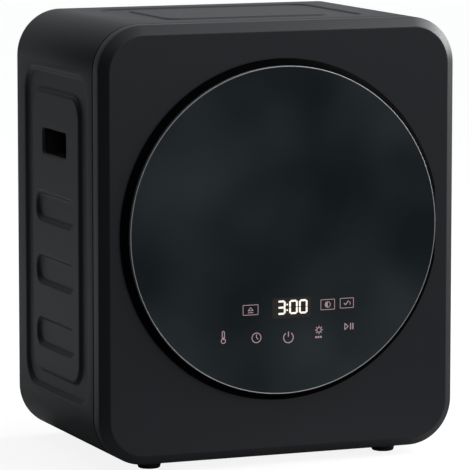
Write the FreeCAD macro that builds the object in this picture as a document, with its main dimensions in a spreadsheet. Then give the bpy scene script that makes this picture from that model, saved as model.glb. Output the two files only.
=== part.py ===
# A compact front-loading tumble dryer, standing on its feet.
#
# The pieces are drawn in a working frame: X to the right, Y from the flat front face towards the back,
# Z up from the underside of the cabinet. Each finished piece is then set back and lifted, so that the
# origin is on the floor, under the middle of the whole machine, with the front facing -Y.
import FreeCAD, Part
import Sketcher
import math
import os

doc = FreeCAD.newDocument("tumble_dryer")
sheet = doc.addObject("Spreadsheet::Sheet", "dims")

# Driving sizes in millimetres, unless the name says otherwise
SIZES = {
    # cabinet
    "body_width": 490, "body_depth": 320, "body_height": 560, "corner_radius": 60, "wall": 3,
    "fit_gap": 0.3, "running_gap": 0.05,
    "foot_height": 11, "foot_band": 5, "foot_radius": 15.5, "foot_tip_radius": 14,
    "foot_inset_side": 81, "foot_inset_end": 46,
    # front frame, with the seam groove behind it
    "frame_depth": 28.7, "seam_gap": 2.5, "chamfer_width": 12, "chamfer_depth": 10,
    "panel_thickness": 3, "tray_edge": 1.5, "lip_length": 11.3, "lip_wall": 3,
    # pressed shapes on the sides: a sunk ring round a plate, with a row of sunk pads
    "emboss_depth": 4.5, "emboss_slope_deg": 45,
    "side_ring_front": 50, "side_ring_rear_margin": 30, "side_ring_bottom": 70, "side_ring_top_margin": 68,
    "side_ring_radius": 34, "side_plate_front": 84, "side_plate_rear_margin": 62, "side_plate_bottom": 95,
    "side_plate_top_margin": 99, "side_plate_radius": 26,
    "pad_count": 3, "pad_front_inset": 17, "pad_rear_inset": 11, "pad_height": 38.5, "pad_radius": 17,
    "pad_bottom_gap": 49.5, "pad_hold_gap": 86.5,
    # hand holds
    "hold_shift": 4, "hold_drop": 163, "hold_width": 89, "hold_height": 32.4, "hold_radius": 5,
    "hold_bevel": 2.4, "cup_depth": 30, "cup_wall": 2,
    # pressed shapes on the top
    "top_emboss_depth": 2, "top_ring_side_margin": 95, "top_ring_front": 70, "top_ring_rear_margin": 32,
    "top_ring_radius": 24, "top_plate_side_margin": 131, "top_plate_front": 101, "top_plate_rear_margin": 63,
    "top_plate_radius": 18,
    # door
    "door_side_margin": 25.5, "door_proud": 13.5, "door_gap": 0.6, "glass_thickness": 3,
    "trim_width": 3, "trim_bevel": 1.5, "ring_flank": 8.4, "ring_width": 23.5,
    "liner_thickness": 3, "plug_gap": 7, "plug_depth": 18, "window_inset": 28, "window_thickness": 2.5,
    "hinge_inset": 11, "hinge_relief_front": 4.5, "pin_radius": 1.5, "pin_length": 72,
    "knuckle_radius": 3.8, "knuckle_gap": 0.5, "knuckle_length": 24,
    "stem_thickness": 5, "stem_slot_radius": 1.5,
    "bracket_width": 34, "bracket_height": 70, "bracket_thickness": 2,
    "magnet_radius": 4, "magnet_length": 5, "magnet_inset": 13.5, "magnet_spread": 40,
    "catch_radius": 6, "catch_thickness": 1.5,
    "switch_width": 12, "switch_depth": 6, "switch_height": 16,
    "door_screw_radius": 2.8, "door_screw_inset": 8, "door_screw_count": 6,
    # display and touch panel behind the glass
    "board_width": 215, "board_height": 66, "board_clear": 10.6, "board_thickness": 1.6,
    "display_width": 48, "display_height": 24, "display_thickness": 3.5,
    "display_rise": 18, "display_shift": 9,
    "touch_count": 5, "touch_radius": 7, "touch_pitch": 43.5, "touch_fall": 17, "touch_shift": 3,
    # mouth of the drum
    "port_margin": 20, "collar_wall": 3, "collar_reach": 5.5, "collar_flange_overlap": 8,
    "collar_flange_thickness": 2.5, "seal_width": 8, "seal_lip": 2.6, "seal_edge": 0.9,
    "bulkhead_thickness": 1.5, "felt_gap": 10, "felt_width": 14, "felt_thickness": 8.9,
    # drum
    "drum_side_margin": 45, "drum_floor_gap": 94, "drum_wall": 1.5, "drum_lip_overlap": 2,
    "lifter_height": 45, "lifter_shoulder": 20, "lifter_base": 62, "lifter_crest": 22, "lifter_wall": 2.5,
    "lifter_end_gap": 4, "lifter_count": 3,
    "drum_shaft_radius": 8, "shaft_flange_radius": 40, "shaft_flange_thickness": 4, "clip_thickness": 2,
    "clip_radius": 14, "bush_wall": 4, "bearing_length": 18.5, "bearing_radius": 18,
    "bearing_flange_radius": 34, "bearing_flange_thickness": 3, "drum_end_gap": 8, "rear_bay": 44.5,
    # drive
    "motor_radius": 38, "motor_length": 100, "motor_gap": 4, "motor_boss_radius": 14, "motor_boss_length": 7,
    "motor_shaft_radius": 4, "motor_shaft_nose": 3,
    "saddle_width": 39, "saddle_length": 70, "saddle_floor_gap": 0.5,
    "pulley_radius": 10, "pulley_flange": 3, "pulley_rim": 2.5, "pulley_gap": 6, "pulley_width": 14,
    "belt_width": 8, "belt_thickness": 1.5,
    # fan, blower housing and exhaust
    "fan_radius": 46, "fan_tip_gap": 8, "fan_front_gap": 5.5, "fan_width": 28, "fan_hub_radius": 10,
    "fan_disc": 2, "fan_blade": 2, "fan_blade_root": 24, "fan_blade_count": 12, "fan_inlet_radius": 30,
    "blower_floor_gap": 3, "blower_right": 10, "blower_flat": 1, "duct_wall": 2,
    "exhaust_side": 66, "exhaust_radius": 46.5, "exhaust_wall": 2.5, "exhaust_length": 16,
    "exhaust_flange": 7, "exhaust_flange_thickness": 2,
    # heater
    "heater_width": 210, "heater_height": 100, "heater_rise": 60, "heater_gap": 4.5, "heater_wall": 1.5,
    "heater_margin": 12, "heater_hole_radius": 6, "element_depth": 18, "element_gap": 9,
    "thermostat_radius": 9, "thermostat_height": 7, "thermostat_side": 60,
    # lint filter and duct
    "filter_width": 120, "filter_thickness": 9, "filter_bottom": 30, "filter_border": 9, "filter_rib": 4.5,
    "filter_mouth": 5, "screen_thickness": 0.8, "filter_slide_gap": 0.5, "housing_wall": 2.5,
    "housing_air_gap": 2.2, "grip_width": 36, "grip_height": 12, "grip_root": 4.5, "grip_thickness": 4,
    "duct_half": 55, "duct_bottom": 12, "duct_height": 46, "duct_chamber_depth": 34, "duct_chamber_left": 40,
    "duct_chamber_right": 53, "duct_chamber_rise": 50, "duct_frame": 4, "duct_shaft_gap": 4,
    # rear panel
    "rear_recess": 1, "rear_thickness": 3, "louvre_width": 84, "louvre_height": 5, "louvre_radius": 2.2,
    "louvre_pitch": 11, "louvre_rows": 9, "louvre_gap": 16,
    "gland_inset": 65, "gland_level": 60, "gland_radius": 8, "gland_bore": 4,
    "gland_flange": 4, "gland_flange_thickness": 3, "gland_proud": 9,
    "screw_radius": 1.9, "screw_head_radius": 3.8, "screw_head_height": 2, "screw_length": 8,
    "screw_inset": 14,
    # electrics on the floor of the cabinet
    "tray_gap": 10, "tray_width": 100, "tray_front": 70, "tray_length": 160, "tray_height": 14,
    "tray_wall": 2,
    "power_board_thickness": 1.6, "post_inset": 6, "post_radius": 4, "post_height": 6,
    "relay_count": 3, "relay_length": 25, "relay_size": 18, "coil_radius": 11, "coil_height": 18,
    "capacitor_width": 40, "capacitor_depth": 34, "capacitor_height": 32, "capacitor_front": 90,
    "capacitor_gap": 5,
}
for row, (alias, number) in enumerate(SIZES.items(), start=1):
    sheet.set(f"A{row}", alias)
    sheet.set(f"B{row}", str(number))
    sheet.setAlias(f"B{row}", alias)
doc.recompute()


class Term:
    """A length worked out from the sheet: the expression for it, and its value now."""

    def __init__(self, text, number):
        self.text = text
        self.number = number

    def __add__(self, other):
        other = as_term(other)
        return Term(f"({self.text} + {other.text})", self.number + other.number)

    def __sub__(self, other):
        other = as_term(other)
        return Term(f"({self.text} - {other.text})", self.number - other.number)

    def __mul__(self, other):
        other = as_term(other)
        return Term(f"({self.text} * {other.text})", self.number * other.number)

    def __truediv__(self, other):
        other = as_term(other)
        return Term(f"({self.text} / {other.text})", self.number / other.number)

    def __rsub__(self, other):
        return as_term(other) - self

    def __neg__(self):
        return self * -1

    __radd__ = __add__
    __rmul__ = __mul__


def as_term(item):
    return item if isinstance(item, Term) else Term(f"({float(item)})", float(item))


def root_of(item):
    return Term(f"sqrt({item.text})", math.sqrt(item.number))


class Sizes:
    """Every size in the sheet, by its alias."""


d = Sizes()
for alias in SIZES:
    setattr(d, alias, Term(f"dims.{alias}", float(getattr(sheet, alias))))


def count(alias):
    return int(round(float(getattr(sheet, alias))))


def bind(item, prop, length):
    item.setExpression(prop, as_term(length).text)


def turn(degrees, axis):
    return FreeCAD.Rotation(FreeCAD.Vector(*axis), degrees)


def place(item, x=0, y=0, z=0, rotation=None):
    """Sets an item's place in the working frame, bound to the sheet."""
    if rotation is not None:
        item.Placement = FreeCAD.Placement(FreeCAD.Vector(), rotation)
    for letter, length in zip("xyz", (x, y, z)):
        bind(item, f"Placement.Base.{letter}", length)
    return item


# Stations from front to back that several pieces share, in the working frame
half_width = d.body_width / 2
lip_inset = d.wall + d.fit_gap
bulkhead_front = d.frame_depth + d.lip_length
bulkhead_back = bulkhead_front + d.bulkhead_thickness
drum_front = bulkhead_back + d.felt_thickness + d.fit_gap
rear_face = d.body_depth - d.rear_recess
rear_reach = rear_face + d.exhaust_length
rear_panel_front = rear_face - d.rear_thickness
rear_bulkhead_back = rear_panel_front - d.rear_bay
rear_bulkhead_front = rear_bulkhead_back - d.bulkhead_thickness
drum_back = rear_bulkhead_front - d.drum_end_gap
front_y = (d.door_proud - rear_reach) / 2

# Radii about the axis that door, mouth and drum share, and the height of that axis
drum_radius = half_width - d.drum_side_margin
door_level = drum_radius + d.drum_floor_gap
ring_radius = half_width - d.door_side_margin
ring_bore = ring_radius - d.ring_width
trim_radius = ring_radius - d.ring_flank
port_radius = ring_bore - d.port_margin
collar_outer = port_radius - d.seal_width
collar_radius = collar_outer - d.collar_wall

# The motor and fan share one axis, as low and as far left as the blower and the saddle allow
blower_radius = d.fan_radius + d.fan_tip_gap + d.duct_wall
motor_level = d.wall + d.blower_floor_gap + blower_radius
motor_x = d.corner_radius + d.saddle_floor_gap + d.saddle_width / 2 - half_width

NODES = []
POCKETS = []


def node(item, label, x=0, y=0, z=0, rotation=None):
    """A finished sub-part: its name, and its place in the frame of the whole machine."""
    if item.isDerivedFrom("PartDesign::Body"):
        item.Tip.Refine = True
    item.Label = label
    place(item, x, front_y + y, d.foot_height + z, rotation)
    NODES.append(item)
    return item


# Sketches


def fix_point(sketch, geometry, end, across, up):
    """Holds one end of a line or a centre at a bound place in its sketch."""
    for kind, axis, length in (("DistanceX", -2, across), ("DistanceY", -1, up)):
        if length.number == 0:
            sketch.addConstraint(Sketcher.Constraint("PointOnObject", geometry, end, axis))
        else:
            index = sketch.addConstraint(Sketcher.Constraint(kind, geometry, end, length.number))
            sketch.setExpression(f"Constraints[{index}]", length.text)


def point(across, up):
    return FreeCAD.Vector(across.number, up.number, 0)


def draw_polygon(sketch, corners):
    corners = [(as_term(across), as_term(up)) for across, up in corners]
    lines = []
    for start, end in zip(corners, corners[1:] + corners[:1]):
        lines.append(sketch.addGeometry(Part.LineSegment(point(*start), point(*end)), False))
    for line, following in zip(lines, lines[1:] + lines[:1]):
        sketch.addConstraint(Sketcher.Constraint("Coincident", line, 2, following, 1))
    for line, corner in zip(lines, corners):
        fix_point(sketch, line, 1, *corner)


def draw_circle(sketch, radius, across=0, up=0):
    across, up, radius = as_term(across), as_term(up), as_term(radius)
    normal = FreeCAD.Vector(0, 0, 1)
    circle = sketch.addGeometry(Part.Circle(point(across, up), normal, radius.number), False)
    fix_point(sketch, circle, 3, across, up)
    index = sketch.addConstraint(Sketcher.Constraint("Radius", circle, radius.number))
    sketch.setExpression(f"Constraints[{index}]", radius.text)


def draw_round_rectangle(sketch, left, right, bottom, top, radius):
    """A rectangle with four equal round corners, each tangent to its sides."""
    left, right, bottom, top, radius = [as_term(item) for item in (left, right, bottom, top, radius)]
    near, far = left + radius, right - radius
    low, high = bottom + radius, top - radius
    sides = [((near, bottom), (far, bottom)), ((right, low), (right, high)),
             ((far, top), (near, top)), ((left, high), (left, low))]
    centres = [(far, low), (far, high), (near, high), (near, low)]
    lines = []
    arcs = []
    for number, (start, end) in enumerate(sides):
        lines.append(sketch.addGeometry(Part.LineSegment(point(*start), point(*end)), False))
        circle = Part.Circle(point(*centres[number]), FreeCAD.Vector(0, 0, 1), radius.number)
        first = (number - 1) * math.pi / 2
        arcs.append(sketch.addGeometry(Part.ArcOfCircle(circle, first, first + math.pi / 2), False))
    for number, line in enumerate(lines):
        sketch.addConstraint(Sketcher.Constraint("Tangent", line, 2, arcs[number], 1))
        sketch.addConstraint(Sketcher.Constraint("Tangent", arcs[number], 2, lines[(number + 1) % 4], 1))
        sketch.addConstraint(Sketcher.Constraint("Vertical" if number % 2 else "Horizontal", line))
    for arc in arcs[1:]:
        sketch.addConstraint(Sketcher.Constraint("Equal", arcs[0], arc))
    index = sketch.addConstraint(Sketcher.Constraint("Radius", arcs[0], radius.number))
    sketch.setExpression(f"Constraints[{index}]", radius.text)
    for kind, line, length in (("DistanceY", 0, bottom), ("DistanceX", 1, right),
                               ("DistanceY", 2, top), ("DistanceX", 3, left)):
        index = sketch.addConstraint(Sketcher.Constraint(kind, lines[line], 1, length.number))
        sketch.setExpression(f"Constraints[{index}]", length.text)


# Bodies: each is drawn on one of its own planes and grown or cut along that plane's axis

ACROSS = ("YZ_Plane", 1)
ALONG = ("XZ_Plane", -1)
UPRIGHT = ("XY_Plane", 1)


def new_body(name):
    return doc.addObject("PartDesign::Body", name)


def new_sketch(body, plane, offset=0):
    role, sign = plane
    sketch = body.newObject("Sketcher::SketchObject", f"{body.Name}_outline")
    origin_plane = next(item for item in body.Origin.OriginFeatures if item.Role == role)
    sketch.AttachmentSupport = (origin_plane, [""])
    sketch.MapMode = "FlatFace"
    bind(sketch, "AttachmentOffset.Base.z", as_term(offset) * sign)
    return sketch


def grow(body, plane, start, end, draw, *sizes, slope=None):
    """Pads an outline from one station to the next along its plane's axis."""
    return extrude("PartDesign::Pad", body, plane, start, end, draw, sizes, slope)


def carve(body, plane, start, end, draw, *sizes, slope=None):
    """Pockets an outline from one station to the next along its plane's axis."""
    pocket = extrude("PartDesign::Pocket", body, plane, start, end, draw, sizes, slope)
    POCKETS.append(pocket)
    return pocket


def extrude(kind, body, plane, start, end, draw, sizes, slope):
    start, end = as_term(start), as_term(end)
    sketch = new_sketch(body, plane, start)
    draw(sketch, *sizes)
    feature = body.newObject(kind, f"{body.Name}_step")
    feature.Refine = False
    feature.Profile = sketch
    span = end - start
    along_axis = span.number > 0
    bind(feature, "Length", span if along_axis else -span)
    with_normal = along_axis == (plane[1] > 0)
    feature.Reversed = with_normal if kind == "PartDesign::Pocket" else not with_normal
    if slope is not None:
        bind(feature, "TaperAngle", -slope)
    return feature


def loft(kind, body, plane, sections):
    """Joins two outlines at two stations with straight walls."""
    sketches = []
    for station, draw, sizes in sections:
        sketch = new_sketch(body, plane, station)
        draw(sketch, *sizes)
        sketches.append(sketch)
    feature = body.newObject(kind, f"{body.Name}_loft")
    feature.Refine = False
    feature.Profile = sketches[0]
    feature.Sections = sketches[1:]
    feature.Ruled = True
    return feature


def turned(name, plane, profile):
    """A body of revolution from (radius, station) corners, about Y or Z as the plane says."""
    body = new_body(name)
    sketch = new_sketch(body, plane)
    draw_polygon(sketch, profile)
    feature = body.newObject("PartDesign::Revolution", f"{name}_turn")
    feature.Profile = sketch
    feature.ReferenceAxis = (sketch, ["V_Axis"])
    feature.Angle = 360
    return body


ABOUT_Y = UPRIGHT
ABOUT_Z = ALONG


# Plain solids and their combinations


def block(name, low, high):
    item = doc.addObject("Part::Box", name)
    for prop, near, far in zip(("Length", "Width", "Height"), low, high):
        bind(item, prop, as_term(far) - near)
    return place(item, *low)


def rod(name, axis, radius, at, length):
    item = doc.addObject("Part::Cylinder", name)
    bind(item, "Radius", radius)
    bind(item, "Height", length)
    rotation = {"y": turn(-90, (1, 0, 0)), "z": turn(0, (0, 0, 1))}[axis]
    return place(item, *at, rotation=rotation)


def fuse(name, *items):
    item = doc.addObject("Part::MultiFuse", name)
    item.Shapes = list(items)
    return item


def cut(name, base, *tools):
    item = doc.addObject("Part::Cut", name)
    item.Base = base
    item.Tool = tools[0] if len(tools) == 1 else fuse(f"{name}_tools", *tools)
    return item


def common(name, base, tool):
    item = doc.addObject("Part::Common", name)
    item.Base = base
    item.Tool = tool
    return item


def group(name, items):
    item = doc.addObject("Part::Compound", name)
    item.Links = items
    return item


def cabinet_outline(inset):
    """The cabinet's round-cornered front outline, drawn in from its outside by an inset."""
    return (inset - half_width, half_width - inset, as_term(inset), d.body_height - inset,
            d.corner_radius - inset)


def grown(outline, margin):
    """A round-cornered outline moved outwards all round by a margin."""
    left, right, bottom, top, radius = outline
    return (left - margin, right + margin, bottom - margin, top + margin, radius + margin)


# Outer shell: one wrap with pressed sides and top, and a hand hold in each side

side_plate_rear = d.body_depth - d.side_plate_rear_margin
hold_middle = (d.side_plate_front + side_plate_rear) / 2 + d.hold_shift
hold_level = d.body_height - d.hold_drop
hand_hold = (hold_middle - d.hold_width / 2, hold_middle + d.hold_width / 2,
             hold_level - d.hold_height / 2, hold_level + d.hold_height / 2, d.hold_radius)


def press_shape(body, plane, face, inward, depth, ring, plate):
    """Sinks a ring into a wall and leaves a plate at the wall's own level, all at one wall thickness."""
    floor = face + inward * depth
    inner_wall = face + inward * d.wall
    inner_floor = floor + inward * d.wall
    mid_wall = face + inward * d.wall / 2
    grow(body, plane, mid_wall, inner_floor, draw_round_rectangle, *grown(ring, d.wall))
    carve(body, plane, face, floor, draw_round_rectangle, *ring, slope=d.emboss_slope_deg)
    grow(body, plane, floor, face, draw_round_rectangle, *grown(plate, depth), slope=d.emboss_slope_deg)
    carve(body, plane, inner_floor, inner_wall, draw_round_rectangle, *grown(plate, -d.wall))


def outer_shell():
    body = new_body("shell")
    front = d.frame_depth + d.seam_gap
    grow(body, ALONG, front, d.body_depth, draw_round_rectangle, *cabinet_outline(0))
    carve(body, ALONG, front, d.body_depth, draw_round_rectangle, *cabinet_outline(d.wall))
    ring = (d.side_ring_front, d.body_depth - d.side_ring_rear_margin, d.side_ring_bottom,
            d.body_height - d.side_ring_top_margin, d.side_ring_radius)
    plate = (d.side_plate_front, side_plate_rear, d.side_plate_bottom,
             d.body_height - d.side_plate_top_margin, d.side_plate_radius)
    pad_lowest = d.side_plate_bottom + d.pad_bottom_gap
    pad_pitch = (hold_level - d.pad_hold_gap - pad_lowest) / (d.pad_count - 1)
    bevelled = grown(hand_hold, d.hold_bevel)
    for side in (-1, 1):
        face = half_width * side
        press_shape(body, ACROSS, face, -side, d.emboss_depth, ring, plate)
        floor = face - side * d.emboss_depth
        inner_wall = face - side * d.wall
        inner_floor = floor - side * d.wall
        for number in range(count("pad_count")):
            middle = pad_lowest + pad_pitch * number
            pad = (d.side_plate_front + d.pad_front_inset, side_plate_rear - d.pad_rear_inset,
                   middle - d.pad_height / 2, middle + d.pad_height / 2, d.pad_radius)
            behind = grown(pad, d.wall)
            grow(body, ACROSS, inner_wall + side * d.wall / 2, inner_floor, draw_round_rectangle, *behind)
            carve(body, ACROSS, face, floor, draw_round_rectangle, *pad, slope=d.emboss_slope_deg)
        carve(body, ACROSS, face, face - side * d.hold_bevel, draw_round_rectangle, *bevelled,
              slope=d.emboss_slope_deg)
        carve(body, ACROSS, face, inner_wall - side * d.wall, draw_round_rectangle, *hand_hold)
    ring_half = half_width - d.top_ring_side_margin
    plate_half = half_width - d.top_plate_side_margin
    top_ring = (-ring_half, ring_half, d.top_ring_front, d.body_depth - d.top_ring_rear_margin,
                d.top_ring_radius)
    top_plate = (-plate_half, plate_half, d.top_plate_front, d.body_depth - d.top_plate_rear_margin,
                 d.top_plate_radius)
    press_shape(body, UPRIGHT, d.body_height, -1, d.top_emboss_depth, top_ring, top_plate)
    node(body, "outer_shell")


outer_shell()


# Front frame: a chamfered tray with the port for the drum, and a lip that enters the shell

hinge_x = ring_radius - d.hinge_inset


def front_frame():
    body = new_body("frame")
    lip_inner = lip_inset + d.lip_wall
    chamfer_run = d.chamfer_width / d.chamfer_depth
    tray_floor_inset = d.chamfer_width + d.tray_edge
    tray_bend = d.panel_thickness + (tray_floor_inset - lip_inner) / chamfer_run
    loft("PartDesign::AdditiveLoft", body, ALONG, (
        (0, draw_round_rectangle, cabinet_outline(d.chamfer_width)),
        (d.chamfer_depth, draw_round_rectangle, cabinet_outline(0))))
    grow(body, ALONG, d.chamfer_depth, d.frame_depth, draw_round_rectangle, *cabinet_outline(0))
    grow(body, ALONG, d.frame_depth, bulkhead_front, draw_round_rectangle, *cabinet_outline(lip_inset))
    carve(body, ALONG, tray_bend, bulkhead_front, draw_round_rectangle, *cabinet_outline(lip_inner))
    loft("PartDesign::SubtractiveLoft", body, ALONG, (
        (d.panel_thickness, draw_round_rectangle, cabinet_outline(tray_floor_inset)),
        (tray_bend, draw_round_rectangle, cabinet_outline(lip_inner))))
    carve(body, ALONG, 0, d.panel_thickness, draw_circle, port_radius, 0, door_level)
    slot_half = d.stem_thickness / 2 + d.fit_gap * 2
    slot_reach = d.knuckle_length / 2 + d.fit_gap * 2
    carve(body, ALONG, 0, d.panel_thickness, draw_round_rectangle, hinge_x - slot_half, hinge_x + slot_half,
          door_level - slot_reach, door_level + slot_reach, d.stem_slot_radius)
    node(body, "front_frame")


front_frame()


# Feet


def foot(name, x, y):
    profile = ((0, 0), (d.foot_radius, 0), (d.foot_radius, -d.foot_band),
               (d.foot_tip_radius, -d.foot_height), (0, -d.foot_height))
    node(turned(name, ABOUT_Z, profile), name, x, y)


for end, foot_y in (("front", d.foot_inset_end), ("rear", d.body_depth - d.foot_inset_end)):
    for hand, side in (("left", -1), ("right", 1)):
        foot(f"foot_{end}_{hand}", (half_width - d.foot_inset_side) * side, foot_y)


# Hand cups, closing off the hand holds from the inside


def hand_cup(name, side):
    body = new_body(name + "_body")
    start = (half_width - d.wall) * side
    end = start - d.cup_depth * side
    grow(body, ACROSS, start, end, draw_round_rectangle, *grown(hand_hold, d.cup_wall))
    carve(body, ACROSS, start, end + d.cup_wall * side, draw_round_rectangle, *hand_hold)
    node(body, name)


hand_cup("left_hand_cup", -1)
hand_cup("right_hand_cup", 1)


# Mouth: collar with its flange on the front panel, door seal, front bulkhead and felt ring

collar_end = bulkhead_back + d.collar_reach
collar_flange_radius = port_radius + d.collar_flange_overlap
flange_back = d.panel_thickness + d.collar_flange_thickness
collar_body = turned("collar_ring", ABOUT_Y, (
    (collar_radius, d.panel_thickness), (collar_flange_radius, d.panel_thickness),
    (collar_flange_radius, flange_back), (collar_outer, flange_back), (collar_outer, collar_end),
    (collar_radius, collar_end)))
filter_half = d.filter_width / 2
filter_back = bulkhead_front - d.housing_wall - d.housing_air_gap
filter_front = filter_back - d.filter_thickness
filter_slot_half = filter_half + d.filter_slide_gap
slot_front = filter_front - d.filter_slide_gap
slot_back = filter_back + d.filter_slide_gap
collar_slot = block("collar_slot", (-filter_slot_half, slot_front, -collar_radius - d.collar_wall * 2),
                    (filter_slot_half, slot_back, -collar_radius / 2))
node(cut("collar_cut", collar_body, collar_slot), "mouth_collar", 0, 0, door_level)

seal_inner = collar_outer + d.fit_gap
seal_outer = port_radius - d.fit_gap
node(turned("seal", ABOUT_Y, (
    (seal_inner, d.panel_thickness), (seal_inner, d.seal_edge), (seal_inner + d.seal_lip, -d.fit_gap),
    (seal_outer - d.seal_edge, -d.fit_gap), (seal_outer, d.seal_edge), (seal_outer, d.panel_thickness))),
     "door_seal", 0, 0, door_level)

duct_top = d.duct_bottom + d.duct_height
duct_window = (d.duct_frame - d.duct_half, d.duct_half - d.duct_frame, d.duct_bottom + d.duct_frame,
               duct_top - d.duct_frame, d.duct_frame)


def front_bulkhead():
    body = new_body("front_plate")
    grow(body, ALONG, bulkhead_front, bulkhead_back, draw_round_rectangle, *cabinet_outline(lip_inset))
    carve(body, ALONG, bulkhead_front, bulkhead_back, draw_circle, collar_outer + d.fit_gap, 0, door_level)
    carve(body, ALONG, bulkhead_front, bulkhead_back, draw_round_rectangle, *duct_window)
    node(body, "front_bulkhead")


front_bulkhead()

felt_inner = collar_outer + d.felt_gap
felt_outer = felt_inner + d.felt_width
felt_back = bulkhead_back + d.felt_thickness
node(turned("felt", ABOUT_Y, (
    (felt_inner, bulkhead_back), (felt_outer, bulkhead_back), (felt_outer, felt_back),
    (felt_inner, felt_back))), "felt_ring", 0, 0, door_level)


# Lint filter: a thin cassette that lifts out of the mouth, two screens, and the housing it stands in

mouth_cutter = rod("mouth_cutter", "y", collar_radius + d.fit_gap, (0, 0, door_level), d.body_depth)


def lint_filter():
    middle = filter_front + d.filter_thickness / 2
    rib_half = d.filter_rib / 2
    mouth_front = middle - d.filter_mouth / 2
    mouth_back = middle + d.filter_mouth / 2
    screen_left = d.filter_border - filter_half
    screen_bottom = d.filter_bottom + d.filter_border
    screen_top = door_level - collar_radius - d.filter_border
    plate = block("filter_plate", (-filter_half, filter_front, d.filter_bottom),
                  (filter_half, filter_back, door_level))
    shaped = cut("filter_shaped", plate, mouth_cutter)
    window = block("filter_window", (screen_left, filter_front - d.fit_gap, screen_bottom),
                   (-screen_left, filter_back + d.fit_gap, screen_top))
    rib = block("filter_rib", (-rib_half, filter_front, screen_bottom - d.fit_gap),
                (rib_half, filter_back, screen_top + d.fit_gap))
    throat = block("filter_throat", (screen_left, mouth_front, screen_top - d.fit_gap),
                   (-d.grip_width / 2, mouth_back, door_level))
    far_throat = block("filter_far_throat", (d.grip_width / 2, mouth_front, screen_top - d.fit_gap),
                       (-screen_left, mouth_back, door_level))
    grip_foot = door_level - collar_radius - d.grip_root
    grip_top = door_level - collar_radius + d.grip_height
    grip = block("filter_grip", (-d.grip_width / 2, middle - d.grip_thickness / 2, grip_foot),
                 (d.grip_width / 2, middle + d.grip_thickness / 2, grip_top))
    opened = cut("filter_opened", shaped, window, throat, far_throat)
    node(fuse("filter_frame_solid", opened, rib, grip), "filter_frame")
    screens = []
    for hand, left, right in (("left", screen_left, -rib_half), ("right", rib_half, -screen_left)):
        for face, front in (("front", filter_front + d.fit_gap),
                            ("back", filter_back - d.fit_gap - d.screen_thickness)):
            screens.append(block(f"screen_{hand}_{face}", (left, front, screen_bottom),
                                 (right, front + d.screen_thickness, screen_top)))
    node(group("screens", screens), "filter_screens")


lint_filter()


def filter_housing():
    inner_front = filter_front - d.housing_air_gap
    inner_back = filter_back + d.housing_air_gap
    inner_floor = d.filter_bottom - d.fit_gap
    outer_half = filter_slot_half + d.housing_wall
    outer = block("housing_outer", (-outer_half, inner_front - d.housing_wall, d.duct_bottom),
                  (outer_half, bulkhead_front, door_level))
    inner = block("housing_inner", (-filter_slot_half, inner_front, inner_floor),
                  (filter_slot_half, inner_back, door_level))
    outlet = block("housing_outlet", (duct_window[0], inner_front, inner_floor),
                   (duct_window[1], bulkhead_front + d.fit_gap, duct_window[3]))
    collar_room = rod("collar_room", "y", collar_outer + d.fit_gap, (0, 0, door_level), d.body_depth)
    node(cut("housing", outer, inner, outlet, collar_room), "filter_housing")


filter_housing()


# Lint duct: runs back under the drum and widens to the fan's inlet

chamber_front = rear_bulkhead_front - d.duct_chamber_depth


def lint_duct():
    back = rear_bulkhead_front
    near = d.duct_bottom
    chamber_left = motor_x - d.duct_chamber_left
    chamber_right = motor_x + d.duct_chamber_right
    chamber_top = motor_level + d.duct_chamber_rise
    run = block("duct_run", (-d.duct_half, bulkhead_back, near), (d.duct_half, back, duct_top))
    link = block("duct_link", (chamber_left, chamber_front, near), (-d.duct_half, back, duct_top))
    chamber = block("duct_chamber", (chamber_left, chamber_front, near),
                    (chamber_right, back, chamber_top))
    low = near + d.duct_wall
    half = d.duct_half - d.duct_wall
    left = chamber_left + d.duct_wall
    inside_front = chamber_front + d.duct_wall
    inside_back = back - d.duct_wall
    run_air = block("duct_run_air", (-half, bulkhead_back - d.fit_gap, low),
                    (half, inside_back, duct_top - d.duct_wall))
    link_air = block("duct_link_air", (left, inside_front, low), (half, inside_back, duct_top - d.duct_wall))
    chamber_air = block("duct_chamber_air", (left, inside_front, low),
                        (chamber_right - d.duct_wall, inside_back, chamber_top - d.duct_wall))
    fan_inlet = rod("duct_outlet", "y", d.fan_inlet_radius, (motor_x, inside_back - d.fit_gap, motor_level),
                    d.duct_wall * 2)
    shaft_hole = rod("duct_shaft_hole", "y", d.motor_shaft_radius + d.duct_shaft_gap,
                     (motor_x, chamber_front - d.fit_gap, motor_level), d.duct_wall * 2)
    solid = fuse("duct_solid", run, link, chamber)
    node(cut("duct", solid, run_air, link_air, chamber_air, fan_inlet, shaft_hole), "lint_duct")


lint_duct()


# Drum: shell with its front lip, back plate, lifters and stub shaft


drum_inner = drum_radius - d.drum_wall
drum_mouth_radius = felt_inner - d.drum_lip_overlap
plate_front = drum_back - d.drum_wall * 2
node(turned("drum_wrap", ABOUT_Y, (
    (drum_mouth_radius, drum_front), (drum_radius, drum_front), (drum_radius, drum_back),
    (drum_inner, drum_back), (drum_inner, drum_front + d.drum_wall),
    (drum_mouth_radius, drum_front + d.drum_wall))), "drum_shell", 0, 0, door_level)
plate_radius = drum_inner - d.running_gap
node(turned("drum_plate", ABOUT_Y, (
    (0, plate_front), (plate_radius, plate_front), (plate_radius, plate_front + d.drum_wall),
    (0, plate_front + d.drum_wall))), "drum_back", 0, 0, door_level)


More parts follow.
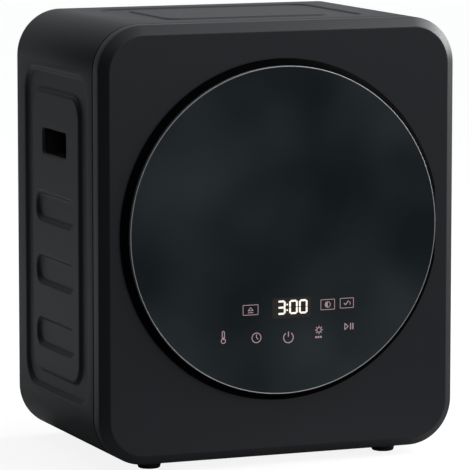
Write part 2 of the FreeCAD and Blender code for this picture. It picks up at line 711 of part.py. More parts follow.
def lifter(number):
    """A hollow ridge along the drum's wall, open towards the wall."""
    name = f"lifter_{number + 1}"
    body = new_body(f"{name}_ridge")
    start = drum_front + d.drum_wall + d.lifter_end_gap
    end = plate_front - d.lifter_end_gap

    def outline(base_half, crest_half, crest):
        shoulder = drum_inner - d.lifter_shoulder
        outside = drum_radius + d.lifter_height
        return ((-base_half, shoulder), (-crest_half, crest), (crest_half, crest),
                (base_half, shoulder), (base_half, outside), (-base_half, outside))

    base_half = d.lifter_base / 2
    crest_half = d.lifter_crest / 2
    crest = drum_inner - d.lifter_height
    skin = d.lifter_wall
    grow(body, ALONG, start, end, draw_polygon, outline(base_half, crest_half, crest))
    carve(body, ALONG, start + skin, end - skin, draw_polygon,
          outline(base_half - skin, crest_half - skin / 2, crest + skin))
    bore = rod(f"{name}_bore", "y", drum_inner - d.fit_gap, (0, 0, 0), d.body_depth)
    angle = 360 / count("lifter_count") * number
    node(common(f"{name}_solid", body, bore), name, 0, 0, door_level, turn(angle, (0, 1, 0)))


for number in range(count("lifter_count")):
    lifter(number)

shaft_front = plate_front + d.drum_wall
bearing_back = rear_bulkhead_back + d.bearing_length
shaft_back = bearing_back + d.fit_gap + d.clip_thickness
shaft_shoulder = shaft_front + d.shaft_flange_thickness
node(turned("stub_shaft", ABOUT_Y, (
    (0, shaft_front), (d.shaft_flange_radius, shaft_front), (d.shaft_flange_radius, shaft_shoulder),
    (d.drum_shaft_radius, shaft_shoulder), (d.drum_shaft_radius, shaft_back), (0, shaft_back))),
     "drum_shaft", 0, 0, door_level)
clip_front = bearing_back + d.fit_gap
node(turned("clip", ABOUT_Y, (
    (d.drum_shaft_radius, clip_front), (d.clip_radius, clip_front), (d.clip_radius, shaft_back),
    (d.drum_shaft_radius, shaft_back))), "shaft_clip", 0, 0, door_level)


# Rear bulkhead with the drum bearing

bush_bore = d.drum_shaft_radius + d.running_gap
bush_outer = bush_bore + d.bush_wall
heater_left = -d.heater_width / 2
heater_bottom = door_level + d.heater_rise
heater_top = heater_bottom + d.heater_height


def rear_bulkhead():
    body = new_body("rear_plate")
    inset = d.wall + d.emboss_depth + d.fit_gap
    stations = (rear_bulkhead_front, rear_bulkhead_back)
    grow(body, ALONG, *stations, draw_round_rectangle, *cabinet_outline(inset))
    carve(body, ALONG, *stations, draw_circle, bush_outer, 0, door_level)
    carve(body, ALONG, *stations, draw_circle, d.fan_inlet_radius, motor_x, motor_level)
    margin = d.heater_margin
    carve(body, ALONG, *stations, draw_round_rectangle, heater_left + margin, -heater_left - margin,
          heater_bottom + margin, heater_top - margin, d.heater_hole_radius)
    node(body, "rear_bulkhead")


rear_bulkhead()

node(turned("bearing", ABOUT_Y, (
    (bush_outer, rear_bulkhead_back), (d.bearing_flange_radius, rear_bulkhead_back),
    (d.bearing_flange_radius, rear_bulkhead_back + d.bearing_flange_thickness),
    (d.bearing_radius, rear_bulkhead_back + d.bearing_flange_thickness),
    (d.bearing_radius, bearing_back), (bush_outer, bearing_back))), "bearing_housing", 0, 0, door_level)
node(turned("bush", ABOUT_Y, (
    (bush_bore, rear_bulkhead_front), (bush_outer, rear_bulkhead_front), (bush_outer, bearing_back),
    (bush_bore, bearing_back))), "drum_bush", 0, 0, door_level)


# Heater box behind the bulkhead, its element and its thermostat


def heater():
    back = rear_panel_front - d.heater_gap
    skin = d.heater_wall
    margin = d.heater_margin
    box = block("heater_case", (heater_left, rear_bulkhead_back, heater_bottom),
                (-heater_left, back, heater_top))
    air = block("heater_air", (heater_left + skin, rear_bulkhead_back - d.fit_gap, heater_bottom + skin),
                (-heater_left - skin, back - skin, heater_top - skin))
    inlet = block("heater_inlet", (heater_left + margin, back - skin * 2, heater_bottom + margin),
                  (-heater_left - margin, back + d.fit_gap, heater_top - margin))
    node(cut("heater_shell", box, air, inlet), "heater_box")
    clear = skin + d.fit_gap
    element = block("element", (0, 0, 0),
                    (d.heater_width - clear * 2, d.element_depth, d.heater_height - clear * 2))
    node(element, "heater_element", heater_left + clear, rear_bulkhead_back + d.element_gap,
         heater_bottom + clear)
    disc = rod("thermostat_disc", "z", d.thermostat_radius, (0, 0, 0), d.thermostat_height)
    node(disc, "thermostat", d.thermostat_side, (rear_bulkhead_back + back) / 2, heater_top)


heater()


# Motor, its saddle and shaft, the pulley and the belt round the drum


boss_back = chamber_front - d.motor_gap
motor_back = boss_back - d.motor_boss_length
motor_front = motor_back - d.motor_length
boss_front = motor_front - d.motor_boss_length
pulley_back = boss_front - d.pulley_gap
pulley_front = pulley_back - d.pulley_width
motor_shaft_front = pulley_front - d.motor_shaft_nose
shaft_bore = d.motor_shaft_radius + d.running_gap
fan_front = rear_bulkhead_back + d.duct_wall + d.fan_front_gap
fan_back = fan_front + d.fan_width
node(turned("stator", ABOUT_Y, (
    (shaft_bore, boss_front), (d.motor_boss_radius, boss_front), (d.motor_boss_radius, motor_front),
    (d.motor_radius, motor_front), (d.motor_radius, motor_back), (d.motor_boss_radius, motor_back),
    (d.motor_boss_radius, boss_back), (shaft_bore, boss_back))), "motor_stator", motor_x, 0, motor_level)


def motor_bracket():
    middle = motor_front + d.motor_length / 2
    saddle = block("saddle_block", (motor_x - d.saddle_width / 2, middle - d.saddle_length / 2, d.wall),
                   (motor_x + d.saddle_width / 2, middle + d.saddle_length / 2, motor_level))
    seat = rod("saddle_seat", "y", d.motor_radius + d.fit_gap, (motor_x, 0, motor_level), d.body_depth)
    node(cut("saddle", saddle, seat), "motor_bracket")


motor_bracket()

node(turned("spindle", ABOUT_Y, (
    (0, motor_shaft_front), (d.motor_shaft_radius, motor_shaft_front), (d.motor_shaft_radius, fan_back),
    (0, fan_back))), "motor_shaft", motor_x, 0, motor_level)

flange_radius = d.pulley_radius + d.pulley_flange
node(turned("pulley", ABOUT_Y, (
    (d.motor_shaft_radius, pulley_front), (flange_radius, pulley_front),
    (flange_radius, pulley_front + d.pulley_rim), (d.pulley_radius, pulley_front + d.pulley_rim),
    (d.pulley_radius, pulley_back - d.pulley_rim), (flange_radius, pulley_back - d.pulley_rim),
    (flange_radius, pulley_back), (d.motor_shaft_radius, pulley_back))),
     "drive_pulley", motor_x, 0, motor_level)


def belt_face(gap):
    """The flat face inside a belt line that runs round the drum and the pulley at a gap from both."""
    big = drum_radius.number + gap
    small = d.pulley_radius.number + gap
    across = motor_x.number
    up = motor_level.number - door_level.number
    reach = math.hypot(across, up)
    heading = math.atan2(up, across)
    spread = math.acos((big - small) / reach)

    def on_circle(centre, radius, angle):
        return FreeCAD.Vector(centre[0] + radius * math.cos(angle), 0, centre[1] + radius * math.sin(angle))

    drum, pulley = (0, 0), (across, up)
    first, last = heading + spread, heading - spread
    edges = [
        Part.Arc(on_circle(drum, big, first), on_circle(drum, big, heading + math.pi),
                 on_circle(drum, big, last)).toShape(),
        Part.makeLine(on_circle(drum, big, last), on_circle(pulley, small, last)),
        Part.Arc(on_circle(pulley, small, last), on_circle(pulley, small, heading),
                 on_circle(pulley, small, first)).toShape(),
        Part.makeLine(on_circle(pulley, small, first), on_circle(drum, big, first)),
    ]
    return Part.Face(Part.Wire(edges))


def drive_belt():
    belt = doc.addObject("Part::Feature", "belt")
    gap = d.fit_gap.number
    ring = belt_face(gap + d.belt_thickness.number).cut(belt_face(gap))
    belt.Shape = ring.extrude(FreeCAD.Vector(0, d.belt_width.number, 0))
    node(belt, "drive_belt", 0, pulley_front + (d.pulley_width - d.belt_width) / 2, door_level)


drive_belt()


# Fan, in its blower housing, and the exhaust collar on the rear panel


def fan_impeller():
    hub = turned("fan_hub", ABOUT_Y, (
        (d.motor_shaft_radius, fan_front), (d.fan_hub_radius, fan_front),
        (d.fan_hub_radius, fan_back - d.fan_disc), (d.fan_radius, fan_back - d.fan_disc),
        (d.fan_radius, fan_back), (d.motor_shaft_radius, fan_back)))
    blades = []
    for number in range(count("fan_blade_count")):
        blade = doc.addObject("Part::Box", f"fan_blade_{number + 1}")
        bind(blade, "Length", d.fan_radius - d.fan_blade_root)
        bind(blade, "Width", d.fan_width)
        bind(blade, "Height", d.fan_blade)
        rotation = turn(360 / count("fan_blade_count") * number, (0, 1, 0))
        out = rotation.multVec(FreeCAD.Vector(1, 0, 0))
        place(blade, d.fan_blade_root * out.x, fan_front, d.fan_blade_root * out.z, rotation)
        blades.append(blade)
    envelope = turned("fan_envelope", ABOUT_Y, (
        (0, fan_front), (d.fan_radius, fan_front), (d.fan_radius, fan_back), (0, fan_back)))
    trimmed = common("fan_blades", fuse("fan_blade_set", *blades), envelope)
    node(fuse("fan", hub, trimmed), "fan_impeller", motor_x, 0, motor_level)


fan_impeller()


def blower_housing():
    body = new_body("blower")
    outline = (motor_x - blower_radius, -d.blower_right, motor_level - blower_radius,
               motor_level + blower_radius, blower_radius - d.blower_flat)
    skin = d.duct_wall
    grow(body, ALONG, rear_bulkhead_back, rear_panel_front, draw_round_rectangle, *outline)
    carve(body, ALONG, rear_bulkhead_back + skin, rear_panel_front, draw_round_rectangle,
          *grown(outline, -skin))
    carve(body, ALONG, rear_bulkhead_back, rear_bulkhead_back + skin, draw_circle, d.fan_inlet_radius,
          motor_x, motor_level)
    node(body, "blower_housing")


blower_housing()

flange_end = rear_face + d.exhaust_flange_thickness
exhaust_outer = d.exhaust_radius + d.exhaust_wall
exhaust_rim = exhaust_outer + d.exhaust_flange
node(turned("exhaust", ABOUT_Y, (
    (d.exhaust_radius, rear_face), (exhaust_rim, rear_face), (exhaust_rim, flange_end),
    (exhaust_outer, flange_end), (exhaust_outer, rear_reach), (d.exhaust_radius, rear_reach))),
     "exhaust_collar", -d.exhaust_side, 0, motor_level)


# Rear panel with its louvres, screws and cord gland

gland_x = half_width - d.gland_inset


def screw_places():
    """Where the rear panel's screws are: three up each side, clear of the blower, and one at the top."""
    side = half_width - lip_inset - d.screw_inset
    low = motor_level + blower_radius + d.screw_inset
    places = [(as_term(0), d.body_height - lip_inset - d.screw_inset)]
    for hand in (-1, 1):
        for level in (low, d.body_height / 2, d.body_height - low):
            places.append((side * hand, level))
    return places


def rear_panel():
    body = new_body("rear_sheet")
    stations = (rear_panel_front, rear_face)
    grow(body, ALONG, *stations, draw_round_rectangle, *cabinet_outline(lip_inset))
    carve(body, ALONG, *stations, draw_circle, d.exhaust_radius, -d.exhaust_side, motor_level)
    carve(body, ALONG, *stations, draw_circle, d.gland_radius, gland_x, d.gland_level)
    for across, up in screw_places():
        carve(body, ALONG, *stations, draw_circle, d.screw_radius, across, up)
    louvre_bottom = (heater_bottom + heater_top) / 2 - d.louvre_pitch * (count("louvre_rows") - 1) / 2
    slots = []
    for side in (-1, 1):
        middle = (d.louvre_width + d.louvre_gap) / 2 * side
        slots.append(carve(body, ALONG, *stations, draw_round_rectangle, middle - d.louvre_width / 2,
                           middle + d.louvre_width / 2, louvre_bottom - d.louvre_height / 2,
                           louvre_bottom + d.louvre_height / 2, d.louvre_radius))
    rows = body.newObject("PartDesign::LinearPattern", "louvre_pattern")
    rows.Originals = slots
    rows.Direction = (slots[0].Profile[0], ["V_Axis"])
    bind(rows, "Length", d.louvre_pitch * (d.louvre_rows - 1))
    bind(rows, "Occurrences", d.louvre_rows)
    body.Tip = rows
    node(body, "rear_panel")


rear_panel()


def rear_screws():
    screws = []
    for number, (across, up) in enumerate(screw_places()):
        name = f"rear_screw_{number + 1}"
        head = rod(f"{name}_head", "y", d.screw_head_radius, (across, rear_face, up), d.screw_head_height)
        tip = rear_face - d.screw_length
        shank = rod(f"{name}_shank", "y", d.screw_radius, (across, tip, up), d.screw_length)
        screws.append(fuse(name, head, shank))
    node(group("rear_screw_set", screws), "rear_screws")


rear_screws()

gland_front = rear_panel_front - d.gland_flange_thickness
gland_back = rear_face + d.gland_flange_thickness
gland_lip = d.gland_radius + d.gland_flange
gland_neck = d.gland_radius - d.fit_gap
node(turned("gland", ABOUT_Y, (
    (d.gland_bore, gland_front), (gland_neck, gland_front), (gland_neck, rear_face), (gland_lip, rear_face),
    (gland_lip, gland_back),
    (gland_neck, rear_face + d.gland_proud), (d.gland_bore, rear_face + d.gland_proud))),
     "cord_gland", gland_x, 0, d.gland_level)


# Electrics on the cabinet floor: the power board in its tray, and the run capacitor


def power_electrics():
    right = half_width - d.corner_radius - d.tray_gap
    left = right - d.tray_width
    back = d.tray_front + d.tray_length
    skin = d.tray_wall
    shell = block("tray_block", (left, d.tray_front, d.wall), (right, back, d.wall + d.tray_height))
    room = block("tray_room", (left + skin, d.tray_front + skin, d.wall + skin),
                 (right - skin, back - skin, d.wall + d.tray_height + skin))
    posts = []
    floor = d.wall + skin
    reach = skin + d.post_inset
    for x in (left + reach, right - reach):
        for y in (d.tray_front + reach, back - reach):
            posts.append(rod(f"post_{len(posts) + 1}", "z", d.post_radius, (x, y, floor), d.post_height))
    node(fuse("tray", cut("tray_cut", shell, room), *posts), "board_tray")
    level = floor + d.post_height
    inset = skin + d.fit_gap
    top = level + d.power_board_thickness
    plate = block("board_plate", (left + inset, d.tray_front + inset, level),
                  (right - inset, back - inset, top))
    middle = (left + right) / 2
    relays = []
    for number in range(count("relay_count")):
        low_y = d.tray_front + d.tray_length / (d.relay_count + 1) * (number + 1) - d.relay_size / 2
        relays.append(block(f"relay_{number + 1}", (middle, low_y, top),
                            (middle + d.relay_length, low_y + d.relay_size, top + d.relay_size)))
    coil_place = ((left + middle) / 2, d.tray_front + d.tray_length / 2, top)
    coil = rod("coil", "z", d.coil_radius, coil_place, d.coil_height)
    node(fuse("board", plate, coil, *relays), "power_board")
    case = block("capacitor_case", (0, 0, 0), (d.capacitor_width, d.capacitor_depth, d.capacitor_height))
    case_left = -d.duct_half - d.capacitor_gap - d.capacitor_width
    node(case, "run_capacitor", case_left, d.capacitor_front, d.wall)


power_electrics()


# Door: ring with its hinge ears, glass, silver trim, liner with the plug, and inner window

glass_back = d.glass_thickness - d.door_proud
trim_bore = trim_radius - d.trim_width
glass_radius = trim_bore - d.fit_gap
ring_back = -d.door_gap
hinge_y = glass_back + d.knuckle_gap + d.knuckle_radius
relief_radius = ring_back - hinge_y
liner_front = ring_back - d.liner_thickness
liner_radius = ring_bore - d.fit_gap
plug_radius = collar_radius - d.plug_gap
window_radius = plug_radius - d.window_inset
door_screw_circle = ring_bore - d.door_screw_inset
magnet_circle = ring_radius - d.magnet_inset
knuckle_clear = d.knuckle_radius + d.fit_gap + d.running_gap * 2
hinge_room = d.knuckle_length / 2 + d.fit_gap


def magnet_places():
    """Two spots on the free side of the door ring, above and below its middle."""
    across = -root_of(magnet_circle * magnet_circle - d.magnet_spread * d.magnet_spread)
    return ((across, -d.magnet_spread), (across, d.magnet_spread))


def door_ring():
    slope_front = -d.door_proud + d.trim_bevel
    ring_lip = trim_radius + d.fit_gap
    ring = turned("ring", ABOUT_Y, (
        (ring_bore, glass_back), (ring_lip, glass_back), (ring_lip, slope_front),
        (ring_radius, ring_back), (ring_bore, ring_back)))
    reach = root_of(ring_radius * ring_radius - hinge_x * hinge_x) + d.knuckle_radius
    outside = ring_radius + d.knuckle_radius
    outboard = block("ring_outboard", (hinge_x, hinge_y - d.hinge_relief_front, -reach), (outside, 0, reach))
    round_off = rod("ring_round", "z", relief_radius, (hinge_x, hinge_y, -reach), reach * 2)
    relief = cut("ring_relief", outboard, round_off)
    notch = block("ring_notch", (hinge_x - knuckle_clear, glass_back, -hinge_room), (outside, 0, hinge_room))
    bore = rod("pin_bore", "z", d.pin_radius, (hinge_x, hinge_y, -d.pin_length / 2), d.pin_length)
    sockets = []
    for number, (across, up) in enumerate(magnet_places()):
        floor = ring_back - d.magnet_length - d.fit_gap
        sockets.append(rod(f"magnet_socket_{number + 1}", "y", d.magnet_radius + d.fit_gap / 2,
                           (across, floor, up), d.magnet_length + d.door_gap))
    node(cut("ring_cut", ring, relief, notch, bore, *sockets), "door_ring", 0, 0, door_level)


door_ring()

pin = rod("pin", "z", d.pin_radius, (0, 0, 0), d.pin_length)
node(pin, "hinge_pin", hinge_x, hinge_y, door_level - d.pin_length / 2)

node(turned("glass", ABOUT_Y, (
    (0, -d.door_proud), (glass_radius, -d.door_proud), (glass_radius, glass_back), (0, glass_back))),
     "door_glass", 0, 0, door_level)
node(turned("trim", ABOUT_Y, (
    (trim_bore, -d.door_proud), (trim_bore + d.fit_gap, -d.door_proud),
    (trim_radius, -d.door_proud + d.trim_bevel), (trim_radius, glass_back), (trim_bore, glass_back))),
     "door_trim", 0, 0, door_level)

plug_inner = plug_radius - d.liner_thickness
lip_radius = window_radius - d.liner_thickness * 2
window_seat = d.plug_depth - d.liner_thickness


def door_liner():
    liner = turned("liner", ABOUT_Y, (
        (plug_inner, liner_front), (liner_radius, liner_front), (liner_radius, ring_back),
        (plug_radius, ring_back), (plug_radius, d.plug_depth), (lip_radius, d.plug_depth),
        (lip_radius, window_seat), (plug_inner, window_seat)))
    holes = []
    for number in range(count("door_screw_count")):
        across, up = around(door_screw_circle, number, "door_screw_count")
        holes.append(rod(f"liner_hole_{number + 1}", "y", d.door_screw_radius + d.fit_gap,
                         (across, liner_front - d.fit_gap, up), d.liner_thickness * 2))
    node(cut("liner_cut", liner, *holes), "door_liner", 0, 0, door_level)


def around(circle, number, count_alias):
    """A place on a circle, one of an even set."""
    angle = 2 * math.pi * (number + 0.5) / count(count_alias)
    return circle * math.cos(angle), circle * math.sin(angle)


door_liner()

node(turned("window", ABOUT_Y, (
    (0, window_seat - d.window_thickness), (window_radius, window_seat - d.window_thickness),
    (window_radius, window_seat), (0, window_seat))), "door_window", 0, 0, door_level)


def door_screws():
    screws = []
    for number in range(count("door_screw_count")):
        across, up = around(door_screw_circle, number, "door_screw_count")
        screws.append(rod(f"door_screw_{number + 1}", "y", d.door_screw_radius, (across, liner_front, up),
                          d.liner_thickness - d.fit_gap))
    node(group("door_screw_set", screws), "door_screws", 0, 0, door_level)


door_screws()


def display_parts():
    display_back = glass_back + d.display_thickness
    board_reach = ring_bore - d.board_clear
    board_half = d.board_width / 2
    board_bottom = door_level - root_of(board_reach * board_reach - board_half * board_half)
    board_middle = board_bottom + d.board_height / 2
    board = block("display_plate", (0, 0, 0), (d.board_width, d.board_thickness, d.board_height))
    node(board, "display_board", -board_half, display_back, board_bottom)
    module = block("display_block", (0, 0, 0), (d.display_width, d.display_thickness, d.display_height))
    node(module, "display_module", d.display_shift - d.display_width / 2, glass_back,
         board_middle + d.display_rise - d.display_height / 2)
    pads = []
    for number in range(count("touch_count")):
        across = d.touch_pitch * (number - (d.touch_count - 1) / 2) + d.touch_shift
        pads.append(rod(f"touch_{number + 1}", "y", d.touch_radius, (across, glass_back, 0),
                        d.display_thickness))
    node(group("touch_set", pads), "touch_pads", 0, 0, board_middle - d.touch_fall)


display_parts()


# Door hardware on the front panel: hinge bracket, catch plates and door switch


def hinge_bracket():
    half = d.knuckle_length / 2
    plate_half = d.bracket_width / 2
    plate_reach = d.bracket_height / 2
    plate_back = d.panel_thickness + d.bracket_thickness
    plate = block("hinge_plate", (hinge_x - plate_half, d.panel_thickness, -plate_reach),
                  (hinge_x + plate_half, plate_back, plate_reach))
    stem = block("hinge_stem", (hinge_x - d.stem_thickness / 2, hinge_y, -half),
                 (hinge_x + d.stem_thickness / 2, plate_back, half))
    knuckle = rod("hinge_knuckle", "z", d.knuckle_radius, (hinge_x, hinge_y, -half), d.knuckle_length)
    bore = rod("hinge_bore", "z", d.pin_radius + d.running_gap, (hinge_x, hinge_y, -d.knuckle_length),
               d.knuckle_length * 2)
    node(cut("hinge", fuse("hinge_solid", plate, stem, knuckle), bore), "hinge_bracket", 0, 0, door_level)


hinge_bracket()


def catch_parts():
    magnets = []
    plates = []
    for number, (across, up) in enumerate(magnet_places()):
        magnets.append(rod(f"magnet_{number + 1}", "y", d.magnet_radius,
                           (across, ring_back - d.magnet_length, up), d.magnet_length))
        plates.append(rod(f"catch_{number + 1}", "y", d.catch_radius, (across, d.panel_thickness, up),
                          d.catch_thickness))
    node(group("magnet_set", magnets), "door_magnets", 0, 0, door_level)
    node(group("catch_set", plates), "catch_plates", 0, 0, door_level)
    case = block("switch_case", (0, 0, 0), (d.switch_width, d.switch_depth, d.switch_height))
    node(case, "door_switch", -magnet_circle - d.switch_width / 2, d.panel_thickness,
         door_level - d.switch_height / 2)


catch_parts()


# Every piece has to be whole before any is written

doc.recompute()
for item in doc.Objects:
    if any(state in item.State for state in ("Invalid", "Error")):
        raise RuntimeError(f"{item.Label} failed: {item.State}")
for pocket in POCKETS:
    if pocket.Shape.Volume >= pocket.BaseFeature.Shape.Volume:
        raise RuntimeError(f"{pocket.Label} cuts nothing")
os.makedirs("parts", exist_ok=True)
for item in NODES:
    if item.Shape.isNull() or not item.Shape.isValid():
        raise RuntimeError(f"{item.Label} has no sound shape")
for item in NODES:
    item.Shape.exportStep(f"parts/{item.Label}.step")
    box = item.Shape.BoundBox
    print(f"{item.Label:18s} {len(item.Shape.Solids):2d} solids {item.Shape.Volume / 1000:9.2f} cm3",
          f"x {box.XMin:7.1f} {box.XMax:7.1f}", f"y {box.YMin:7.1f} {box.YMax:7.1f}",
          f"z {box.ZMin:7.1f} {box.ZMax:7.1f}")
print(len(NODES), "nodes")
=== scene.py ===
# %% [markdown]
# # A compact tumble dryer
# This lesson dresses a small front-loading clothes dryer. Its engineering model already holds every part
# at its true size. The looks could be modelled freely beside it, but the door has to close and the drum
# has to turn, so the frame is loaded first and its overall box is kept. Every piece made below stays
# inside that box and rides on one of the frame's bodies.

# %% Load the engineering frame
import math
import bmesh
import bpy
from mathutils import Matrix
from mathutils import Vector


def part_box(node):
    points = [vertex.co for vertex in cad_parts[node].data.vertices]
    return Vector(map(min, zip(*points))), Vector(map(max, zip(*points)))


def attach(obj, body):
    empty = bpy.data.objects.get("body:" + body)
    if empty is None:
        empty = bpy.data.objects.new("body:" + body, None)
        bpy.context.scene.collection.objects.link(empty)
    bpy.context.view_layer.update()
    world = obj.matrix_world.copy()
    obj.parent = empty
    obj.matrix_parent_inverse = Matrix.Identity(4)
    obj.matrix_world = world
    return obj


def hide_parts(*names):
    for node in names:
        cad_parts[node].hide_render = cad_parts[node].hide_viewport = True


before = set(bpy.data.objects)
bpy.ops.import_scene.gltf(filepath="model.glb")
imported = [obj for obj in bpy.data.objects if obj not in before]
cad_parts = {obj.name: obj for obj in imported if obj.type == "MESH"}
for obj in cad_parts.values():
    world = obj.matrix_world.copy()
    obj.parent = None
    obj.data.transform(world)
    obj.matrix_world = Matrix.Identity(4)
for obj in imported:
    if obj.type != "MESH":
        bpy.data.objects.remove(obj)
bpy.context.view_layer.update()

# %% [markdown]
# ## Measuring from the frame
# Every size of a piece below is a distance that a rule could take on the real dryer, in millimetres from
# the front panel's plane and the cabinet's underside. Blender works in metres from the origin, so `at`
# turns such a place into the scene's. `measured` reads a part's box from the frame, rounded to a tenth of
# a millimetre because round parts are stored as small flats. Typing those numbers again would work too,
# but they could then drift away from the parts that they have to fit.

# %% Places on the dryer
MM = 0.001
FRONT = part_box("front_frame")[0].y
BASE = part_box("outer_shell")[0].z


def at(x, y, z):
    return Vector((x * MM, FRONT + y * MM, BASE + z * MM))


def measured(part):
    start = at(0, 0, 0)
    return [Vector([round(value / MM, 1) for value in corner - start]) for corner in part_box(part)]


def middle(part):
    low, high = measured(part)
    return (low + high) / 2


shell_low, shell_high = measured("outer_shell")
HALF_WIDTH = shell_high.x
HEIGHT = shell_high.z
SHELL_FRONT = shell_low.y
SHELL_REAR = shell_high.y
DOOR_LEVEL = middle("door_glass").z
print(f"half width {HALF_WIDTH:.1f}, height {HEIGHT:.1f}, shell from {SHELL_FRONT:.1f} to {SHELL_REAR:.1f}")
print(f"the door's centre lies {DOOR_LEVEL:.1f} above the underside")

# %% [markdown]
# ## Selecting like a modeller
# At the keyboard a step starts by deselecting what is there and picking the faces or edges to work on.
# The engineering parts are still selected after loading, and an operator acts on all that is selected, so
# `start_fresh` comes before every new piece. A script can't click, so `pick` chooses by a test on each
# element's place or direction. Element numbers would be shorter to write, but they change with every
# edit.

# %% Helpers for selecting
def start_fresh(*pieces):
    if bpy.context.object and bpy.context.object.mode != "OBJECT":
        bpy.ops.object.mode_set(mode="OBJECT")
    bpy.ops.object.select_all(action="DESELECT")
    for piece in pieces:
        piece.select_set(True)
        bpy.context.view_layer.objects.active = piece


def edit(piece):
    start_fresh(piece)
    bpy.ops.object.mode_set(mode="EDIT")


def pick(kind, test):
    bpy.ops.mesh.select_mode(type=kind)
    bpy.ops.mesh.select_all(action="DESELECT")
    mesh = bmesh.from_edit_mesh(bpy.context.edit_object.data)
    for item in {"FACE": mesh.faces, "EDGE": mesh.edges, "VERT": mesh.verts}[kind]:
        corners = [item.co] if kind == "VERT" else [corner.co for corner in item.verts]
        if test(item, sum(corners, Vector()) / len(corners)):
            item.select_set(True)
    bmesh.update_edit_mesh(bpy.context.edit_object.data)


def pick_all(kind):
    bpy.ops.mesh.select_mode(type=kind)
    bpy.ops.mesh.select_all(action="SELECT")


def is_open(edge):
    return edge.is_boundary or edge.is_wire


def face_count(piece):
    return len(bmesh.from_edit_mesh(piece.data).faces)


print("ready to pick faces, edges and corners by their place")

# %% [markdown]
# ## Joining, thickening and keeping
# Pieces are joined, given modifiers that are applied at once, then welded so that no seam stays open.
# `keep` is the last step of each piece. It puts the object at the origin, shades it, gives it a material
# and lets it ride on the body it belongs to. Modifiers could stay live and adjustable, but then the
# finished mesh would exist only on the screen.

# %% Helpers for finishing
WELD = 0.01


def join(*pieces):
    start_fresh(*reversed(pieces))
    bpy.ops.object.join()
    return pieces[0]


def modify(piece, kind, **settings):
    start_fresh(piece)
    modifier = piece.modifiers.new(kind.title(), kind)
    for name, value in settings.items():
        setattr(modifier, name, value)
    bpy.ops.object.modifier_apply(modifier=modifier.name)


def apply_place():
    bpy.ops.object.transform_apply(location=True, rotation=True, scale=True)


def weld(piece):
    edit(piece)
    bpy.ops.mesh.select_all(action="SELECT")
    bpy.ops.mesh.delete_loose()
    bpy.ops.mesh.select_all(action="SELECT")
    bpy.ops.mesh.remove_doubles(threshold=WELD * MM)
    bpy.ops.mesh.normals_make_consistent(inside=False)
    start_fresh()


def keep(piece, name, body, material, slot, *nodes, angle=35):
    start_fresh(piece)
    piece.name = name
    apply_place()
    bpy.ops.object.shade_smooth_by_angle(angle=math.radians(angle))
    piece.data.materials.clear()
    piece.data.materials.append(material)
    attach(piece, body)
    if nodes:
        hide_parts(*nodes)
    print(name, len(piece.data.polygons), "faces")
    return piece


print("ready to join, thicken and keep pieces")

# %% [markdown]
# ## Copies and cuts
# Feet, louvres, screws and ribs come in sets on the real dryer. One of each is modelled and the others
# are duplicates with a mesh of their own, so that each can ride on its body by itself. Slots and notches
# are taken out with a block, as a milling cutter would do it. Moving single corners could do the same,
# but a boolean keeps the rest of the piece exactly as it was.

# %% Helpers for copies and cuts
def copy_of(piece, spot):
    start_fresh(piece)
    bpy.ops.object.duplicate(linked=False)
    copy = bpy.context.object
    copy.location = spot
    return copy


def discard(piece):
    start_fresh(piece)
    bpy.ops.object.delete()


def cut_away(piece, tool):
    modify(piece, "BOOLEAN", object=tool, operation="DIFFERENCE", solver="EXACT")
    discard(tool)


def cut_block(piece, low, high):
    start_fresh()
    bpy.ops.mesh.primitive_cube_add(size=1, location=(low + high) / 2, scale=high - low)
    apply_place()
    cut_away(piece, bpy.context.object)


print("ready to copy pieces and cut slots")

# %% [markdown]
# ## Sheets with round corners
# Nearly all of the casing is pressed sheet. A pressed panel starts here as a flat sheet with round
# corners, made from a plane whose four corners are bevelled. A curve could draw the same outline, but a
# plane turns straight into faces that can be inset, which is the next step.

# %% Helper for flat sheets
FACING = {
    "left": ((0, -90, 0), 2, 1),
    "right": ((0, 90, 0), 2, 1),
    "front": ((90, 0, 0), 0, 2),
    "rear": ((-90, 0, 0), 0, 2),
    "top": ((0, 0, 0), 0, 1),
}


def turn_to(facing):
    return [math.radians(angle) for angle in FACING[facing][0]]


def sheet(facing, low, high, radius, steps=8):
    start_fresh()
    across, along = FACING[facing][1:]
    size = high - low
    bpy.ops.mesh.primitive_plane_add(size=1, location=(low + high) / 2, rotation=turn_to(facing))
    piece = bpy.context.object
    piece.scale = (abs(size[across]), abs(size[along]), 1)
    apply_place()
    edit(piece)
    pick_all("VERT")
    bpy.ops.mesh.bevel(offset=radius * MM, segments=steps, affect="VERTICES")
    pick_all("FACE")
    return piece


print("sheets can face", ", ".join(FACING))

# %% [markdown]
# ## Pressing a profile into a sheet
# A stamping die bends sheet metal along a profile. Insetting a face in small steps, each a little inwards
# and a little up or down, lets its rim follow any such profile. `soft` rounds the corners of the profile
# first, because no pressed edge is perfectly sharp. A bevel afterwards would also round them, but it
# struggles where two bends lie close together.

# %% Helpers for pressing
TOUCH = 0.05
LEAST = 0.001
FAR = 900.0


def soft(points, radius, steps=4):
    run = [Vector(point) for point in points]
    result = [run[0]]
    for before, corner, after in zip(run, run[1:], run[2:]):
        back, ahead = (before - corner).normalized(), (after - corner).normalized()
        half = back.angle(ahead) / 2
        reach = radius / math.tan(half)
        centre = corner + (back + ahead).normalized() * radius / math.sin(half)
        first, last = corner + back * reach - centre, corner + ahead * reach - centre
        sweep = first.angle_signed(last)
        for index in range(steps + 1):
            turn = Matrix.Rotation(-sweep * index / steps, 2)
            result.append(centre + turn @ first)
    return result + [run[-1]]


def follow(profile):
    for here, there in zip(profile, profile[1:]):
        inwards, outwards = there - here
        bpy.ops.mesh.inset(thickness=max(inwards, LEAST) * MM, depth=outwards * MM)


def cut_floor():
    bpy.ops.mesh.delete(type="FACE")


